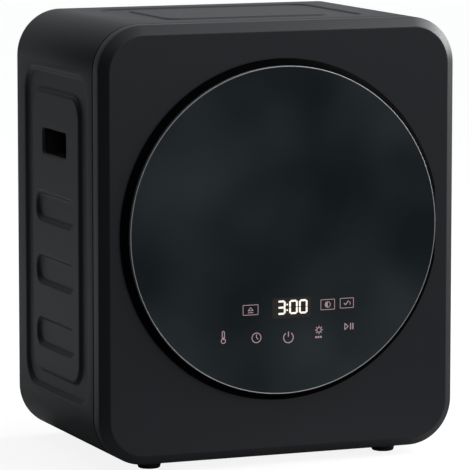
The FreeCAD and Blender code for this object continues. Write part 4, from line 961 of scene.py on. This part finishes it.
# %% Set the digits
DIGIT_WIDE = 9.4
DIGIT_TALL = 18.4
BAR_WIDE = 2.5
BAR_GAP = 0.5
BAR_TIP = 0.8
DOT = 2.2
DOT_X = 1.9
DOT_RISE = 3.6
TIME_LEVEL = -100.0
DIGITS = (("3", -6.2), ("0", 10.6), ("0", 24.2))
SHAPES = {"3": "top middle bottom upper_right lower_right",
          "0": "top bottom upper_right lower_right upper_left lower_left"}
BARS = {"top": (0, 0.5, 0), "middle": (0, 0, 0), "bottom": (0, -0.5, 0), "upper_right": (0.5, 0.25, 90),
        "lower_right": (0.5, -0.25, 90), "upper_left": (-0.5, 0.25, 90), "lower_left": (-0.5, -0.25, 90)}
span = DIGIT_TALL - BAR_WIDE
lit = []
for digit, x in DIGITS:
    for name in SHAPES[digit].split():
        across, up, angle = BARS[name]
        length = span / 2 - BAR_GAP if angle else DIGIT_WIDE - BAR_WIDE / 2
        lit.append(bar(x + across * DIGIT_WIDE, TIME_LEVEL + up * span, length, BAR_WIDE, angle, BAR_TIP))
for level in (-DOT_RISE, DOT_RISE):
    lit.append(bar(DOT_X, TIME_LEVEL + level, DOT, DOT, tip=0.5))
keep(join(*lit), "time_digits", "door", TIME_GLOW, "display_black")

# %% [markdown]
# ## The pane round the time
# A faint warm pane surrounds the digits where their light leaks into the display. It is a thin sheet with
# round corners, a little behind the front of the marks. A darker spot in the glass's material could fake
# it, but then it would be hard to keep in line with the digits.

# %% Lay the pane
PANE_FRONT = DOOR_FRONT + 0.06
PANE_THICK = 0.05
PANE_LEFT, PANE_RIGHT = -17.5, 36.0
PANE_LOW, PANE_HIGH = DOOR_LEVEL - 113.0, DOOR_LEVEL - 86.5
pane = sheet("front", at(PANE_LEFT, PANE_FRONT, PANE_LOW), at(PANE_RIGHT, PANE_FRONT, PANE_HIGH), 3.0, 4)
modify(pane, "SOLIDIFY", thickness=PANE_THICK * MM, offset=-1)
keep(pane, "display_pane", "door", WINDOW_GLOW, "display_black")

# %% [markdown]
# ## The touch keys: warmth, timer and power
# The keys stand in a gentle arc under the time. The first is a thermometer, the second a clock face with
# two hands and the third the usual broken ring with a stroke. Drawn curves could trace them more finely,
# but for lit marks of this size a few strokes each are enough.

# %% Draw the first three keys
LINE = 1.1
WARMTH_X = -86.0
TIMER_X = -40.5
POWER_X = 3.7
marks = [hoop(WARMTH_X, -138.6, 2.9, LINE), hoop(WARMTH_X, -127.6, 1.5, LINE, 0, 180)]
marks += [bar(WARMTH_X + side, -131.6, 8.2, LINE, 90) for side in (-1.5, 1.5)]
marks += [bar(WARMTH_X, -135.4, 4.0, 1.0, 90)]
marks += [hoop(TIMER_X, -137, 6.2, LINE), bar(TIMER_X, -134.8, 4.4, LINE, 90)]
marks += [bar(TIMER_X + 1.2, -137.8, 3.6, LINE, -45)]
marks += [hoop(POWER_X, -139.2, 6.7, 1.3, 120, 420), bar(POWER_X, -134.8, 7.0, 1.3, 90, 0.4)]
print(len(marks), "strokes so far")

# %% [markdown]
# ## The touch keys: strength and start
# The fourth key is a small sun with three blocks under it, and the last one is the triangle and the two
# bars of start and pause. The sun's eight rays are one bar placed round a circle by its angle, which is
# easier to change than eight places typed by hand.

# %% Draw the last two keys
SUN_X = 46.2
SUN_Z = -131.8
RAY_CIRCLE = 4.7
START_X = 82.3
START_Z = -129.5
marks += [hoop(SUN_X, SUN_Z, 3.0, LINE)]
for turn in range(0, 360, 45):
    ray_x = SUN_X + RAY_CIRCLE * math.cos(math.radians(turn))
    ray_z = SUN_Z + RAY_CIRCLE * math.sin(math.radians(turn))
    marks += [bar(ray_x, ray_z, 1.7, 1.2, turn)]
marks += [bar(SUN_X - 0.7 + shift, -141, 2.5, 2.6, tip=0.4) for shift in (-3.3, 0, 3.3)]
marks += [bar(START_X, START_Z, 8.4, LINE, 90)]
marks += [bar(START_X + 2.4, START_Z - 2.1 * side, 6.3, LINE, 41 * side) for side in (-1, 1)]
marks += [bar(START_X + shift, START_Z, 8.4, 1.5, 90, 0.4) for shift in (8.1, 11.4)]
print(len(marks), "strokes for the keys")

# %% [markdown]
# ## The framed pictures
# Three small framed pictures stand beside the time: a garment, a half-filled ball and a tick with a small
# curl. Filled shapes would also do, but the same strokes inside round-cornered frames keep all the marks
# about equally fine. At the end everything is joined into one piece.

# %% Draw the framed pictures
GARMENT = (-48.6, -100.7)
BALL = (58.3, -99.5)
TICK = (85.0, -99.0)
marks += [rounded_frame(*GARMENT, 21.4, 13.5), rounded_frame(*BALL, 20.0, 13.8)]
marks += [rounded_frame(*TICK, 19.4, 13.4)]
marks += [bar(GARMENT[0] + 1.7 * side, -99.6, 5.2, 0.9, -50 * side) for side in (-1, 1)]
marks += [bar(GARMENT[0], level, 7.4, 0.9) for level in (-101.6, -104.2)]
marks += [hoop(*BALL, 3.6, 0.9), hoop(*BALL, 1.7, 3.2, 90, 270)]
marks += [bar(82.2, -100.2, 3.6, 1.2, -45), bar(85.4, -98.6, 6.6, 1.2, 52)]
marks += [hoop(87.6, -99.4, 2.2, 0.9, -60, 80)]
keep(join(*marks), "touch_keys", "door", KEY_GLOW, "display_black")

# %% [markdown]
# ## Feet
# Four rubber feet carry the dryer and keep it from walking while the drum turns. One foot starts as a
# cylinder. Its underside is extruded, narrowed and bevelled, and its middle is pressed in a little, so
# that only a ring stands on the floor. A profile on a lathe would give the same, but a foot has few steps
# and each of them can be watched here. The other three are copies at the places that the frame gives.

# %% Shape one foot and copy it
FOOT_NAMES = ("foot_front_left", "foot_front_right", "foot_rear_left", "foot_rear_right")
FOOT_BAND = 5.0
FOOT_TIP = 14.0
FOOT_ROUND = 1.6
FOOT_RING = 5.0
FOOT_HOLLOW = 0.8
DOWN = -0.999
foot_low, foot_high = measured("foot_front_left")
FOOT_RADIUS = (foot_high.x - foot_low.x) / 2
FOOT_TALL = foot_high.z - foot_low.z
start_fresh()
bpy.ops.mesh.primitive_cylinder_add(vertices=48, radius=FOOT_RADIUS * MM, depth=FOOT_BAND * MM,
                                    location=(0, 0, -FOOT_BAND / 2 * MM))
foot = bpy.context.object
apply_place()
edit(foot)
pick("FACE", lambda face, spot: face.normal.z < DOWN)
bpy.ops.mesh.extrude_region_move(TRANSFORM_OT_translate={"value": (0, 0, (FOOT_BAND - FOOT_TALL) * MM)})
shrink = FOOT_TIP / FOOT_RADIUS
bpy.ops.transform.resize(value=(shrink, shrink, 1), center_override=(0, 0, 0))
bpy.ops.mesh.bevel(offset=FOOT_ROUND * MM, segments=4, affect="EDGES")
pick("FACE", lambda face, spot: face.normal.z < DOWN)
bpy.ops.mesh.inset(thickness=FOOT_RING * MM, depth=0)
bpy.ops.mesh.inset(thickness=FOOT_HOLLOW * MM, depth=-FOOT_HOLLOW * MM)
for name in FOOT_NAMES:
    spot = middle(name)
    keep(copy_of(foot, at(spot.x, spot.y, 0)), "rubber_" + name, "cabinet", RUBBER, "foot_rubber", name)
discard(foot)

# %% [markdown]
# ## The rear panel
# A flat black cover closes the back and sits inside the wrap with a soft outer edge. It starts as a sheet
# with round corners whose rim is raised to the cover's level, and its middle is left open for now. A
# bevelled plate would be quicker, but the louvres and holes of the next steps are easier to fill in than
# to cut out.

# %% Press the rear panel's edge
REAR_ROUND = 1.0
REAR_BAND = 4.0
REAR_STEPS = 16
PANEL_FRONT, PANEL_BACK = (corner.y for corner in measured("rear_panel"))
edge_low = at(LIP_INSET - HALF_WIDTH, PANEL_FRONT, LIP_INSET)
edge_high = at(HALF_WIDTH - LIP_INSET, PANEL_FRONT, HEIGHT - LIP_INSET)
rear = sheet("rear", edge_low, edge_high, CORNER - LIP_INSET, REAR_STEPS)
thick = PANEL_BACK - PANEL_FRONT
follow(soft([(0, 0), (0, thick), (REAR_BAND, thick)], REAR_ROUND, 3))
cut_floor()
print("rear edge has", face_count(rear), "faces")

# %% [markdown]
# ## Louvres
# Air enters through two columns of louvres at the back, level with the heater. Each louvre is a slot with
# a raised lip, modelled once and copied into its rows. An array modifier could repeat it as well, but
# single copies can be joined to the panel's outline before the flat between them is filled.

# %% Press a louvre and copy it
LOUVRE_WIDE = 84.0
LOUVRE_TALL = 5.0
LOUVRE_PITCH = 11.0
LOUVRE_ROWS = 9
LOUVRE_GAP = 16.0
LOUVRE_CORNER = 3.4
LIP_WIDE = 2.2
LIP_PROUD = 0.9
LIP_DEEP = 2.5
lip_run = [(0, 0), (0.6, 0), (1.5, LIP_PROUD), (LIP_WIDE, LIP_PROUD), (LIP_WIDE + 0.1, -LIP_DEEP)]
half_wide, half_tall = LOUVRE_WIDE / 2 + LIP_WIDE, LOUVRE_TALL / 2 + LIP_WIDE
louvre = sheet("rear", at(-half_wide, PANEL_BACK, -half_tall), at(half_wide, PANEL_BACK, half_tall),
               LOUVRE_CORNER, 4)
follow(soft(lip_run, 0.35, 2))
cut_floor()
column = (LOUVRE_WIDE + LOUVRE_GAP) / 2
louvres = []
for x in (-column, column):
    for row in range(LOUVRE_ROWS):
        level = middle("heater_box").z + (row - (LOUVRE_ROWS - 1) / 2) * LOUVRE_PITCH
        louvres.append(copy_of(louvre, (x * MM, 0, level * MM)))
discard(louvre)
print(len(louvres), "louvres")

# %% [markdown]
# ## Holes in the rear panel
# The exhaust and the cord pass through round holes with a soft edge. They are made like the port in the
# front. Joining everything and filling the flat leaves one sheet, which then gets its thickness, so that
# the louvres and the holes show real edges from every side. Cutting them from a finished plate would
# leave sharp rims.

# %% Fill the rear panel
EXHAUST_HOLE = 46.6
GLAND_HOLE = 8.2
HOLE_EDGE = 1.0
HOLE_DEEP = 2.4
REAR_WALL = 2.0
EXHAUST = middle("exhaust_collar")
GLAND = middle("cord_gland")
hole_run = soft([(0, 0), (HOLE_EDGE, 0), (HOLE_EDGE + 0.05, -HOLE_DEEP)], 0.7, 3)
holes = []
for centre, radius, vertices in ((EXHAUST, EXHAUST_HOLE, 72), (GLAND, GLAND_HOLE, 32)):
    spot = at(centre.x, PANEL_BACK, centre.z)
    holes.append(round_hole("rear", spot, radius, HOLE_EDGE, hole_run, vertices))
edit(join(rear, *louvres, *holes))
fill_between(1, at(0, PANEL_BACK, 0).y)
weld(rear)
modify(rear, "SOLIDIFY", thickness=REAR_WALL * MM, offset=-1, use_even_offset=True)
keep(rear, "rear_cover", "cabinet", REAR_BLACK, "rear_plastic", "rear_panel")

# %% [markdown]
# ## Exhaust collar and cord gland
# A hose is pushed over the exhaust collar, so it carries two shallow grooves that grip. The cord leaves
# through a stepped rubber gland. Both are turned from their profiles: pairs of radius and depth, as they
# would stand in a drawing for the lathe. Stacked cylinders could be joined instead, but their steps would
# have to be rounded one by one.

# %% Turn the collar and the gland
hose_run = [(46.5, 319.0), (56.0, 319.0), (56.0, 321.0), (49.0, 321.0), (49.0, 324.5), (48.0, 325.5),
            (49.0, 326.5), (49.0, 328.5), (48.0, 329.5), (49.0, 330.5), (49.0, 335.0), (46.5, 335.0)]
collar = turned(loop(hose_run, 0.45), EXHAUST.x, EXHAUST.z, vertices=96)
keep(collar, "hose_collar", "cabinet", REAR_BLACK, "exhaust_plastic", "exhaust_collar")
gland_run = [(4.0, 310.0), (8.0, 310.0), (8.0, 323.0), (6.8, 324.0), (6.8, 325.4), (6.0, 325.8),
             (6.0, 327.0), (5.6, 328.0), (4.0, 328.0)]
gland = turned(loop(gland_run, 0.3), GLAND.x, GLAND.z, vertices=40)
keep(gland, "cord_outlet", "cabinet", RUBBER, "gland_plastic", "cord_gland")

# %% [markdown]
# ## Screws of the rear panel
# Seven screws hold the panel: one at the top and three down each side. The head is turned from a short
# profile and two blocks cut the cross for the driver. One screw is made at the top and copied to the
# other places. A picture of a cross would do from afar, but the cut catches light as a real one does.

# %% Turn a screw and place its copies
SCREW_INSET = 14.0
SCREW_SPREAD = 148.0
CROSS_LONG = 2.2
CROSS_WIDE = 0.5
CROSS_FLOOR = 320.3
HEAD_CLEAR = 322.0
panel_low, panel_high = measured("rear_panel")
TOP_SCREW = panel_high.z - SCREW_INSET


def cut_cross(piece, level, bottom, top, long, wide):
    cut_block(piece, at(-long, bottom, level - wide), at(long, top, level + wide))
    cut_block(piece, at(-wide, bottom, level - long), at(wide, top, level + long))


head_run = [(2.0, 316.4), (3.8, 319.02), (3.8, 320.0), (3.3, 320.7), (2.4, 321.0)]
head = turned(head_run, 0, TOP_SCREW, closed=False, vertices=24)
cut_cross(head, TOP_SCREW, CROSS_FLOOR, HEAD_CLEAR, CROSS_LONG, CROSS_WIDE)
screws = [head]
for x in (panel_low.x + SCREW_INSET, panel_high.x - SCREW_INSET):
    for shift in (-SCREW_SPREAD, 0, SCREW_SPREAD):
        spot = (x * MM, 0, (HEIGHT / 2 + shift - TOP_SCREW) * MM)
        screws.append(copy_of(head, spot))
keep(join(*screws), "panel_screws", "cabinet", BRIGHT, "screw_steel", "rear_screws")

# %% [markdown]
# ## The door's liner
# When the door opens, its grey liner shows, with the plug that enters the drum's mouth. It is a moulding,
# so it is turned with soft corners. Six holes for its screws are then drilled with cylinders, because a
# lathe shape can have no holes beside its axis.

# %% Turn and drill the liner
SCREW_CIRCLE = 188.0
SCREW_HOLE = 3.1
SCREW_COUNT = 6
FIRST_SCREW = 30
DRILL_LONG = 8.0
DRILL_DEPTH = -2.0
SCREW_TURNS = [math.radians(FIRST_SCREW + WHOLE / SCREW_COUNT * index) for index in range(SCREW_COUNT)]
SCREW_SPOTS = [(SCREW_CIRCLE * math.cos(turn), SCREW_CIRCLE * math.sin(turn)) for turn in SCREW_TURNS]
liner_run = [(155.0, -3.6), (195.7, -3.6), (195.7, -0.6), (158.0, -0.6), (157.2, 18.0), (124.0, 18.0),
             (124.0, 15.0), (154.0, 15.0)]
liner = turned(loop(liner_run, 1.2), vertices=128)
for x, up in SCREW_SPOTS:
    start_fresh()
    bpy.ops.mesh.primitive_cylinder_add(vertices=32, radius=SCREW_HOLE * MM, depth=DRILL_LONG * MM,
                                        location=at(x, DRILL_DEPTH, DOOR_LEVEL + up),
                                        rotation=turn_to("front"))
    apply_place()
    cut_away(liner, bpy.context.object)
keep(liner, "inner_liner", "door", SEAL_GREY, "liner_plastic", "door_liner")

# %% [markdown]
# ## Screws in the liner
# Small screws sit in the drilled holes and hold the liner to the ring. They are made like the ones at the
# back: one head is turned at the door's centre, its cross is cut and copies go to the six places. Turning
# each in its own place would repeat the same cuts six times.

# %% Turn a small screw and place its copies
SMALL_CROSS_LONG = 1.7
SMALL_CROSS_WIDE = 0.35
SMALL_CROSS_FLOOR = -1.6
small = turned([(2.8, -3.6), (2.8, -1.5), (2.4, -1.05), (1.6, -0.9)], closed=False, vertices=32)
cut_cross(small, DOOR_LEVEL, SMALL_CROSS_FLOOR, 0, SMALL_CROSS_LONG, SMALL_CROSS_WIDE)
liner_screws = [copy_of(small, (x * MM, 0, up * MM)) for x, up in SCREW_SPOTS]
discard(small)
keep(join(*liner_screws), "liner_screws", "door", BRIGHT, "screw_steel", "door_screws")

# %% [markdown]
# ## Inner window and seal
# A smoked window closes the plug, slightly domed so that clothes slide off it, and a soft seal lies round
# the port for the door to press on. Both are turned. A sphere cut flat would dome the window too, but a
# profile keeps its rim and its dome in one run. The window takes the finish of the front glass, since
# both are dark glass, and with it the same painted reflection.

# %% Turn the window and the seal
window_run = [(120.0, 12.5), (130.0, 12.5), (130.0, 15.0), (123.0, 15.0), (119.0, 16.6), (96.0, 17.4)]
window = turned(window_run, closed=False, vertices=128)
keep(window, "inner_window", "door", GLASS_AND_PAINTED_REFLECTION, "window_smoked", "door_window")
seal_run = [(168.3, 3.0), (168.3, 0.9), (170.9, -0.3), (174.8, -0.3), (175.7, 0.9), (175.7, 3.0)]
seal = turned(loop(seal_run, 0.5), vertices=128)
keep(seal, "mouth_seal", "cabinet", RUBBER, "seal_rubber", "door_seal")

# %% [markdown]
# ## The mouth collar
# The collar lines the opening between the front and the drum. A slot in its floor takes the lint filter.
# It is turned first and the slot is cut through it afterwards, with half a millimetre of room round the
# filter. Deleting faces would open it as well, but only along the edges that the turning left.

# %% Turn the mouth collar
FILTER_ROOM = 0.5
SLOT_LOW = 100.0
SLOT_HIGH = 200.0
filter_low, filter_high = measured("filter_frame")
mouth_run = [(165.0, 3.0), (184.0, 3.0), (184.0, 5.5), (168.0, 5.5), (168.0, 47.0), (165.0, 47.0)]
mouth = turned(loop(mouth_run, 0.8), vertices=160)
cut_block(mouth, at(filter_low.x - FILTER_ROOM, filter_low.y - FILTER_ROOM, SLOT_LOW),
          at(filter_high.x + FILTER_ROOM, filter_high.y + FILTER_ROOM, SLOT_HIGH))
keep(mouth, "mouth_lining", "cabinet", GREY, "collar_plastic", "mouth_collar")

# %% [markdown]
# ## The perforated drum
# Warm air reaches the clothes through hundreds of small holes. One flat cell with a round hole is drawn,
# then repeated along the drum and around it. Cutting the holes from a finished tube with booleans would
# be slow and could leave torn edges, while two arrays keep every hole the same.

# %% Perforate one cell and array it
DRUM_WALL = 1.5
STRIPS = 60
ROWS = 12
ROW_PITCH = 15.4
DRUM_FIRST = 68.0
HOLE_RADIUS = 2.2
drum_low, drum_high = measured("drum_shell")
DRUM_RADIUS = drum_high.x - DRUM_WALL
start_fresh()
bpy.ops.mesh.primitive_plane_add(size=1, location=(0, 0, 0))
drum = bpy.context.object
drum.scale = (2 * DRUM_RADIUS * math.tan(math.pi / STRIPS) * MM, ROW_PITCH * MM, 1)
apply_place()
edit(drum)
bpy.ops.mesh.select_all(action="SELECT")
bpy.ops.mesh.delete(type="ONLY_FACE")
bpy.ops.mesh.primitive_circle_add(vertices=12, radius=HOLE_RADIUS * MM, location=(0, 0, 0))
bpy.ops.mesh.select_all(action="SELECT")
bpy.ops.mesh.fill(use_beauty=True)
bpy.ops.mesh.select_all(action="SELECT")
bpy.ops.transform.translate(value=(0, (DRUM_FIRST + ROW_PITCH / 2) * MM, -DRUM_RADIUS * MM))
modify(drum, "ARRAY", count=ROWS, use_relative_offset=False, use_constant_offset=True,
       constant_offset_displace=(0, ROW_PITCH * MM, 0), use_merge_vertices=True)
turner = bpy.data.objects.new("turner", None)
bpy.context.collection.objects.link(turner)
turner.rotation_euler = (0, math.tau / STRIPS, 0)
bpy.context.view_layer.update()
modify(drum, "ARRAY", count=STRIPS, use_relative_offset=False, use_object_offset=True,
       offset_object=turner, use_merge_vertices=True, use_merge_vertices_cap=True)
bpy.data.objects.remove(turner)
print("drum wall", len(drum.data.polygons), "faces")

# %% [markdown]
# ## Rims of the drum
# The plain bands at the two ends are extruded from the perforated wall, and the front one turns inwards
# to make the lip that runs in the felt. The wall then gets its thickness outwards, so that the side
# towards the clothes keeps its measure. Two separate rings could be added instead, but they would have to
# be welded to sixty flats.

# %% Finish the drum
LIP_RADIUS = 176.0
DRUM_SHEET = 1.3
LAST_ROW = DRUM_FIRST + ROWS * ROW_PITCH


def pick_rim(depth):
    pick("EDGE", lambda edge, spot: is_open(edge) and abs(spot.y - depth * MM) < TOUCH * MM)


edit(drum)
bpy.ops.mesh.select_all(action="SELECT")
bpy.ops.mesh.remove_doubles(threshold=2 * WELD * MM)
pick_rim(DRUM_FIRST)
band = (drum_low.y + DRUM_WALL - DRUM_FIRST) * MM
bpy.ops.mesh.extrude_edges_move(TRANSFORM_OT_translate={"value": (0, band, 0)})
bpy.ops.mesh.extrude_edges_move(TRANSFORM_OT_translate={"value": (0, 0, 0)})
lip_ratio = LIP_RADIUS / DRUM_RADIUS
bpy.ops.transform.resize(value=(lip_ratio, 1, lip_ratio), center_override=(0, 0, 0))
pick_rim(LAST_ROW)
bpy.ops.mesh.extrude_edges_move(TRANSFORM_OT_translate={"value": (0, (drum_high.y - LAST_ROW) * MM, 0)})
bpy.ops.mesh.select_all(action="SELECT")
bpy.ops.mesh.normals_make_consistent(inside=True)
start_fresh(drum)
drum.location = at(0, 0, DOOR_LEVEL)
modify(drum, "SOLIDIFY", thickness=DRUM_SHEET * MM, offset=-1, use_even_offset=False)
keep(drum, "perforated_drum", "drum", DRUM, "drum_steel", "drum_shell", angle=25)

# %% [markdown]
# ## The drum's back plate
# A steel disc closes the drum, and pressed rings stiffen it. They show as circles when the door is open.
# The disc is turned along a wavy profile. A flat disc with rings in its bump would look right only from
# straight ahead.

# %% Turn the back plate
plate_run = [(198.2, 260.4), (198.2, 259.0), (150.0, 259.0), (147.0, 257.4), (120.0, 257.4),
             (117.0, 259.0), (70.0, 259.0), (67.0, 257.4), (40.0, 257.4), (37.0, 259.0), (20.0, 259.0)]
plate = turned([tuple(point) for point in soft(plate_run, 1.4, 2)], closed=False, vertices=96)
keep(plate, "drum_floor", "drum", DRUM, "drum_steel", "drum_back")

# %% [markdown]
# ## Lifters
# Three rounded ribs carry the clothes up as the drum turns. One rib is a flat foot that is extruded twice
# and narrowed each time, then bevelled so that nothing catches. A tapered cube would give one slope only,
# and such ribs have a shoulder. Its copies stand a third of a turn apart.

# %% Model one lifter and turn its copies
LIFTERS = 3
RIB_ROOT = 195.0
SHOULDER = (40.0, 178.5)
CREST_WIDE = 22.0
RIB_ROUND = 6.0
END_SLANT = 0.97
rib_low, rib_high = measured("lifter_1")
rib_centre = (rib_low.y + rib_high.y) / 2 * MM
wide, level = rib_high.x - rib_low.x, RIB_ROOT
start_fresh()
bpy.ops.mesh.primitive_plane_add(size=1, location=(0, rib_centre, RIB_ROOT * MM))
rib = bpy.context.object
rib.scale = (wide * MM, (rib_high.y - rib_low.y) * MM, 1)
apply_place()
edit(rib)
bpy.ops.mesh.select_all(action="SELECT")
for next_wide, next_level in (SHOULDER, (CREST_WIDE, rib_low.z - DOOR_LEVEL)):
    bpy.ops.mesh.extrude_region_move(TRANSFORM_OT_translate={"value": (0, 0, (next_level - level) * MM)})
    bpy.ops.transform.resize(value=(next_wide / wide, END_SLANT, 1), center_override=(0, rib_centre, 0))
    wide, level = next_wide, next_level
pick("EDGE", lambda edge, spot: spot.z < (RIB_ROOT - 1) * MM)
bpy.ops.mesh.bevel(offset=RIB_ROUND * MM, segments=5, affect="EDGES")
weld(rib)
for index in range(LIFTERS):
    copy = copy_of(rib, at(0, 0, DOOR_LEVEL))
    copy.rotation_euler = (0, index * math.tau / LIFTERS, 0)
    number = str(index + 1)
    keep(copy, "rounded_lifter_" + number, "drum", GREY, "lifter_plastic", "lifter_" + number)
discard(rib)

# %% [markdown]
# ## The lint screens
# The filter catches lint on two fine screens. A flat grid becomes woven wire with the wireframe modifier,
# which lets light through where a flat sheet would not. A see-through pattern in the material would be
# lighter, but real wires also hold up when the screen is seen from close by.

# %% Weave the screens
WIRE = 0.45
MESH_PITCH = 3.0
screen_low, screen_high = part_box("filter_screens")
size = screen_high - screen_low
spot = (screen_low + screen_high) / 2
spot.y = screen_low.y + WIRE * MM
start_fresh()
bpy.ops.mesh.primitive_grid_add(x_subdivisions=round(size.x / MM / MESH_PITCH),
                                y_subdivisions=round(size.z / MM / MESH_PITCH), size=1,
                                location=spot, rotation=turn_to("front"))
screen = bpy.context.object
screen.scale = (size.x - WIRE * MM, size.z - WIRE * MM, 1)
apply_place()
modify(screen, "WIREFRAME", thickness=WIRE * MM, use_replace=True)
second = copy_of(screen, (0, size.y - 2 * WIRE * MM, 0))
keep(join(screen, second), "lint_screens", "lint_filter", MESH, "filter_mesh", "filter_screens")

# %% [markdown]
# ## The studio
# A matte black box has hardly any colour to show: its shape is read from what it mirrors. So the world is
# white only to the camera, and to everything else it is a slow gradient, bright to the right and above,
# dimmer to the left and behind. Many lamps could shape the same light, but a gradient has no edges that
# would show up as stripes on the chamfers.

# %% The world
def calculate(tree, operation, first, second):
    node = tree.nodes.new("ShaderNodeMath")
    node.operation = operation
    tree.links.new(first, node.inputs[0])
    tree.links.new(second, node.inputs[1])
    return node.outputs["Value"]


def camera_sees(tree, seen, others, out):
    path = tree.nodes.new("ShaderNodeLightPath")
    either = tree.nodes.new("ShaderNodeMixShader")
    tree.links.new(path.outputs["Is Camera Ray"], either.inputs["Fac"])
    tree.links.new(others, either.inputs[1])
    tree.links.new(seen, either.inputs[2])
    tree.links.new(either.outputs["Shader"], out.inputs["Surface"])


STUDIO_TINT = (0.94, 0.975, 1, 1)
world = bpy.data.worlds.new("studio")
bpy.context.scene.world = world
world.use_nodes = True
tree = world.node_tree
tree.nodes.clear()
place = tree.nodes.new("ShaderNodeTexCoord")
ways = tree.nodes.new("ShaderNodeSeparateXYZ")
tree.links.new(place.outputs["Generated"], ways.inputs["Vector"])
rightwards = remap(tree, ways.outputs["X"], -0.75, 1.0, 0.0, 1.2)
backwards = remap(tree, ways.outputs["Y"], 0.0, 1.0, 1.0, 0.47)
upwards = remap(tree, ways.outputs["Z"], 0.3, 1.0, 0.0, 0.25)
level = calculate(tree, "ADD", calculate(tree, "MULTIPLY", rightwards, backwards), upwards)
studio = tree.nodes.new("ShaderNodeBackground")
studio.inputs["Color"].default_value = STUDIO_TINT
tree.links.new(level, studio.inputs["Strength"])
white = tree.nodes.new("ShaderNodeBackground")
white.inputs["Color"].default_value = (1, 1, 1, 1)
out = tree.nodes.new("ShaderNodeOutputWorld")
camera_sees(tree, white.outputs["Background"], studio.outputs["Background"], out)
print("the world has", len(tree.nodes), "nodes")

# %% [markdown]
# ## Lamps
# Three soft lamps finish the light. The strongest stands far to the right and draws the bright line down
# the right chamfer, a weaker one above lifts the top, and a faint one in front lifts the whole front a
# little. Large area lamps are used, because a small lamp would put a hard spot on the glass.

# %% The lamps
def lamp(name, spot, aim, size, power):
    data = bpy.data.lights.new(name, "AREA")
    data.size = size
    data.energy = power
    item = bpy.data.objects.new(name, data)
    bpy.context.collection.objects.link(item)
    item.location = spot
    item.rotation_euler = (Vector(aim) - Vector(spot)).to_track_quat("-Z", "Y").to_euler()
    return item


lamps = [lamp("overhead lamp", (1.25, -0.45, 1.55), (0, 0, 0.4), 0.8, 10),
         lamp("front lamp", (0.93, -2.05, 1.94), (0, -0.17, 0.5), 0.7, 4),
         lamp("right lamp", (2.4, 0.3, 1.3), (0, 0, 0.3), 1.2, 46)]
print("lamps:", ", ".join(item.name for item in lamps))

# %% [markdown]
# ## The floor that the camera sees
# The dryer stands on white studio paper that shows only a soft shadow under the feet. The paper is mostly
# its own light, with a little plain white that can take a shadow. Stronger lamps could whiten it as well,
# but they would also bleach the black casing.

# %% Paper for the camera
PAPER_SIZE = 30.0
OWN_LIGHT = 0.8
start_fresh()
bpy.ops.mesh.primitive_plane_add(size=PAPER_SIZE, location=(0, 0, 0))
floor = bpy.context.object
floor.name = "studio_floor"
paper, tree, shader = new_material("studio paper")
tone = remap(tree, place_pattern(tree, GRAIN), 0, 1, 0.88, 0.92)
tree.links.new(tone, shader.inputs["Base Color"])
shader.inputs["Roughness"].default_value = 1.0
shader.inputs["Specular IOR Level"].default_value = 0.0
shine = tree.nodes.new("ShaderNodeEmission")
shine.inputs["Strength"].default_value = 1.1
paper_look = tree.nodes.new("ShaderNodeMixShader")
paper_look.inputs["Fac"].default_value = OWN_LIGHT
tree.links.new(shader.outputs["BSDF"], paper_look.inputs[1])
tree.links.new(shine.outputs["Emission"], paper_look.inputs[2])
floor.data.materials.append(paper)
print(floor.name, "carries", paper.name)

# %% [markdown]
# ## The floor that the dryer sees
# The casing mirrors the floor too, and a floor as white as the camera sees it would turn the black sides
# grey. So to every other ray the floor is dim: a little brighter close to the dryer, and brighter again
# in a wide patch behind it on the left, which is what lights the dryer's left side. Each of these is a
# slow ramp on the floor's own coordinates. A lamp there could do it too, but a ramp is easier to spread
# over the whole side.

# %% Paper for the dryer
place = tree.nodes.new("ShaderNodeTexCoord")
ways = tree.nodes.new("ShaderNodeSeparateXYZ")
away = tree.nodes.new("ShaderNodeVectorMath")
away.operation = "LENGTH"
tree.links.new(place.outputs["Object"], ways.inputs["Vector"])
tree.links.new(place.outputs["Object"], away.inputs[0])
close_by = remap(tree, away.outputs["Value"], 0.22, 0.5, 0.42, 0.15)
leftwards = remap(tree, ways.outputs["X"], -0.25, -0.6, 0.0, 0.5)
backwards = remap(tree, ways.outputs["Y"], 0.0, 0.5, 0.0, 1.0)
waning = remap(tree, away.outputs["Value"], 0.8, 2.2, 1.0, 0.55)
patch = calculate(tree, "MULTIPLY", calculate(tree, "MULTIPLY", leftwards, backwards), waning)
dim = tree.nodes.new("ShaderNodeBsdfDiffuse")
tree.links.new(calculate(tree, "ADD", close_by, patch), dim.inputs["Color"])
camera_sees(tree, paper_look.outputs["Shader"], dim.outputs["BSDF"], tree.nodes["Material Output"])
print(paper.name, "has", len(tree.nodes), "nodes")

# %% [markdown]
# ## The camera
# The camera stands far off with a long lens, a little to the left and slightly above the door. A short
# lens close by could frame it too, but the upright edges would lean and the round door would look
# swollen. The view transform is set to Standard, so that colours come out about as they are written.

# %% Place the camera
TURN = math.radians(-21.995)
LIFT = math.radians(7.488)
DISTANCE = 4.9834
LENS = 300.18
SENSOR = 36.0
FARTHEST = 60.0
aim = Vector((-0.0636, FRONT, BASE + 0.29002))
away = Vector((math.sin(TURN) * math.cos(LIFT), -math.cos(TURN) * math.cos(LIFT), math.sin(LIFT)))
lens = bpy.data.cameras.new("photo camera")
lens.sensor_width = SENSOR
lens.lens = LENS
lens.clip_end = FARTHEST
camera = bpy.data.objects.new("photo camera", lens)
bpy.context.collection.objects.link(camera)
camera.location = aim + away * DISTANCE
camera.rotation_euler = (-away).to_track_quat("-Z", "Y").to_euler()
bpy.context.scene.camera = camera
bpy.context.scene.view_settings.view_transform = "Standard"
print("camera at", tuple(round(value, 3) for value in camera.location))
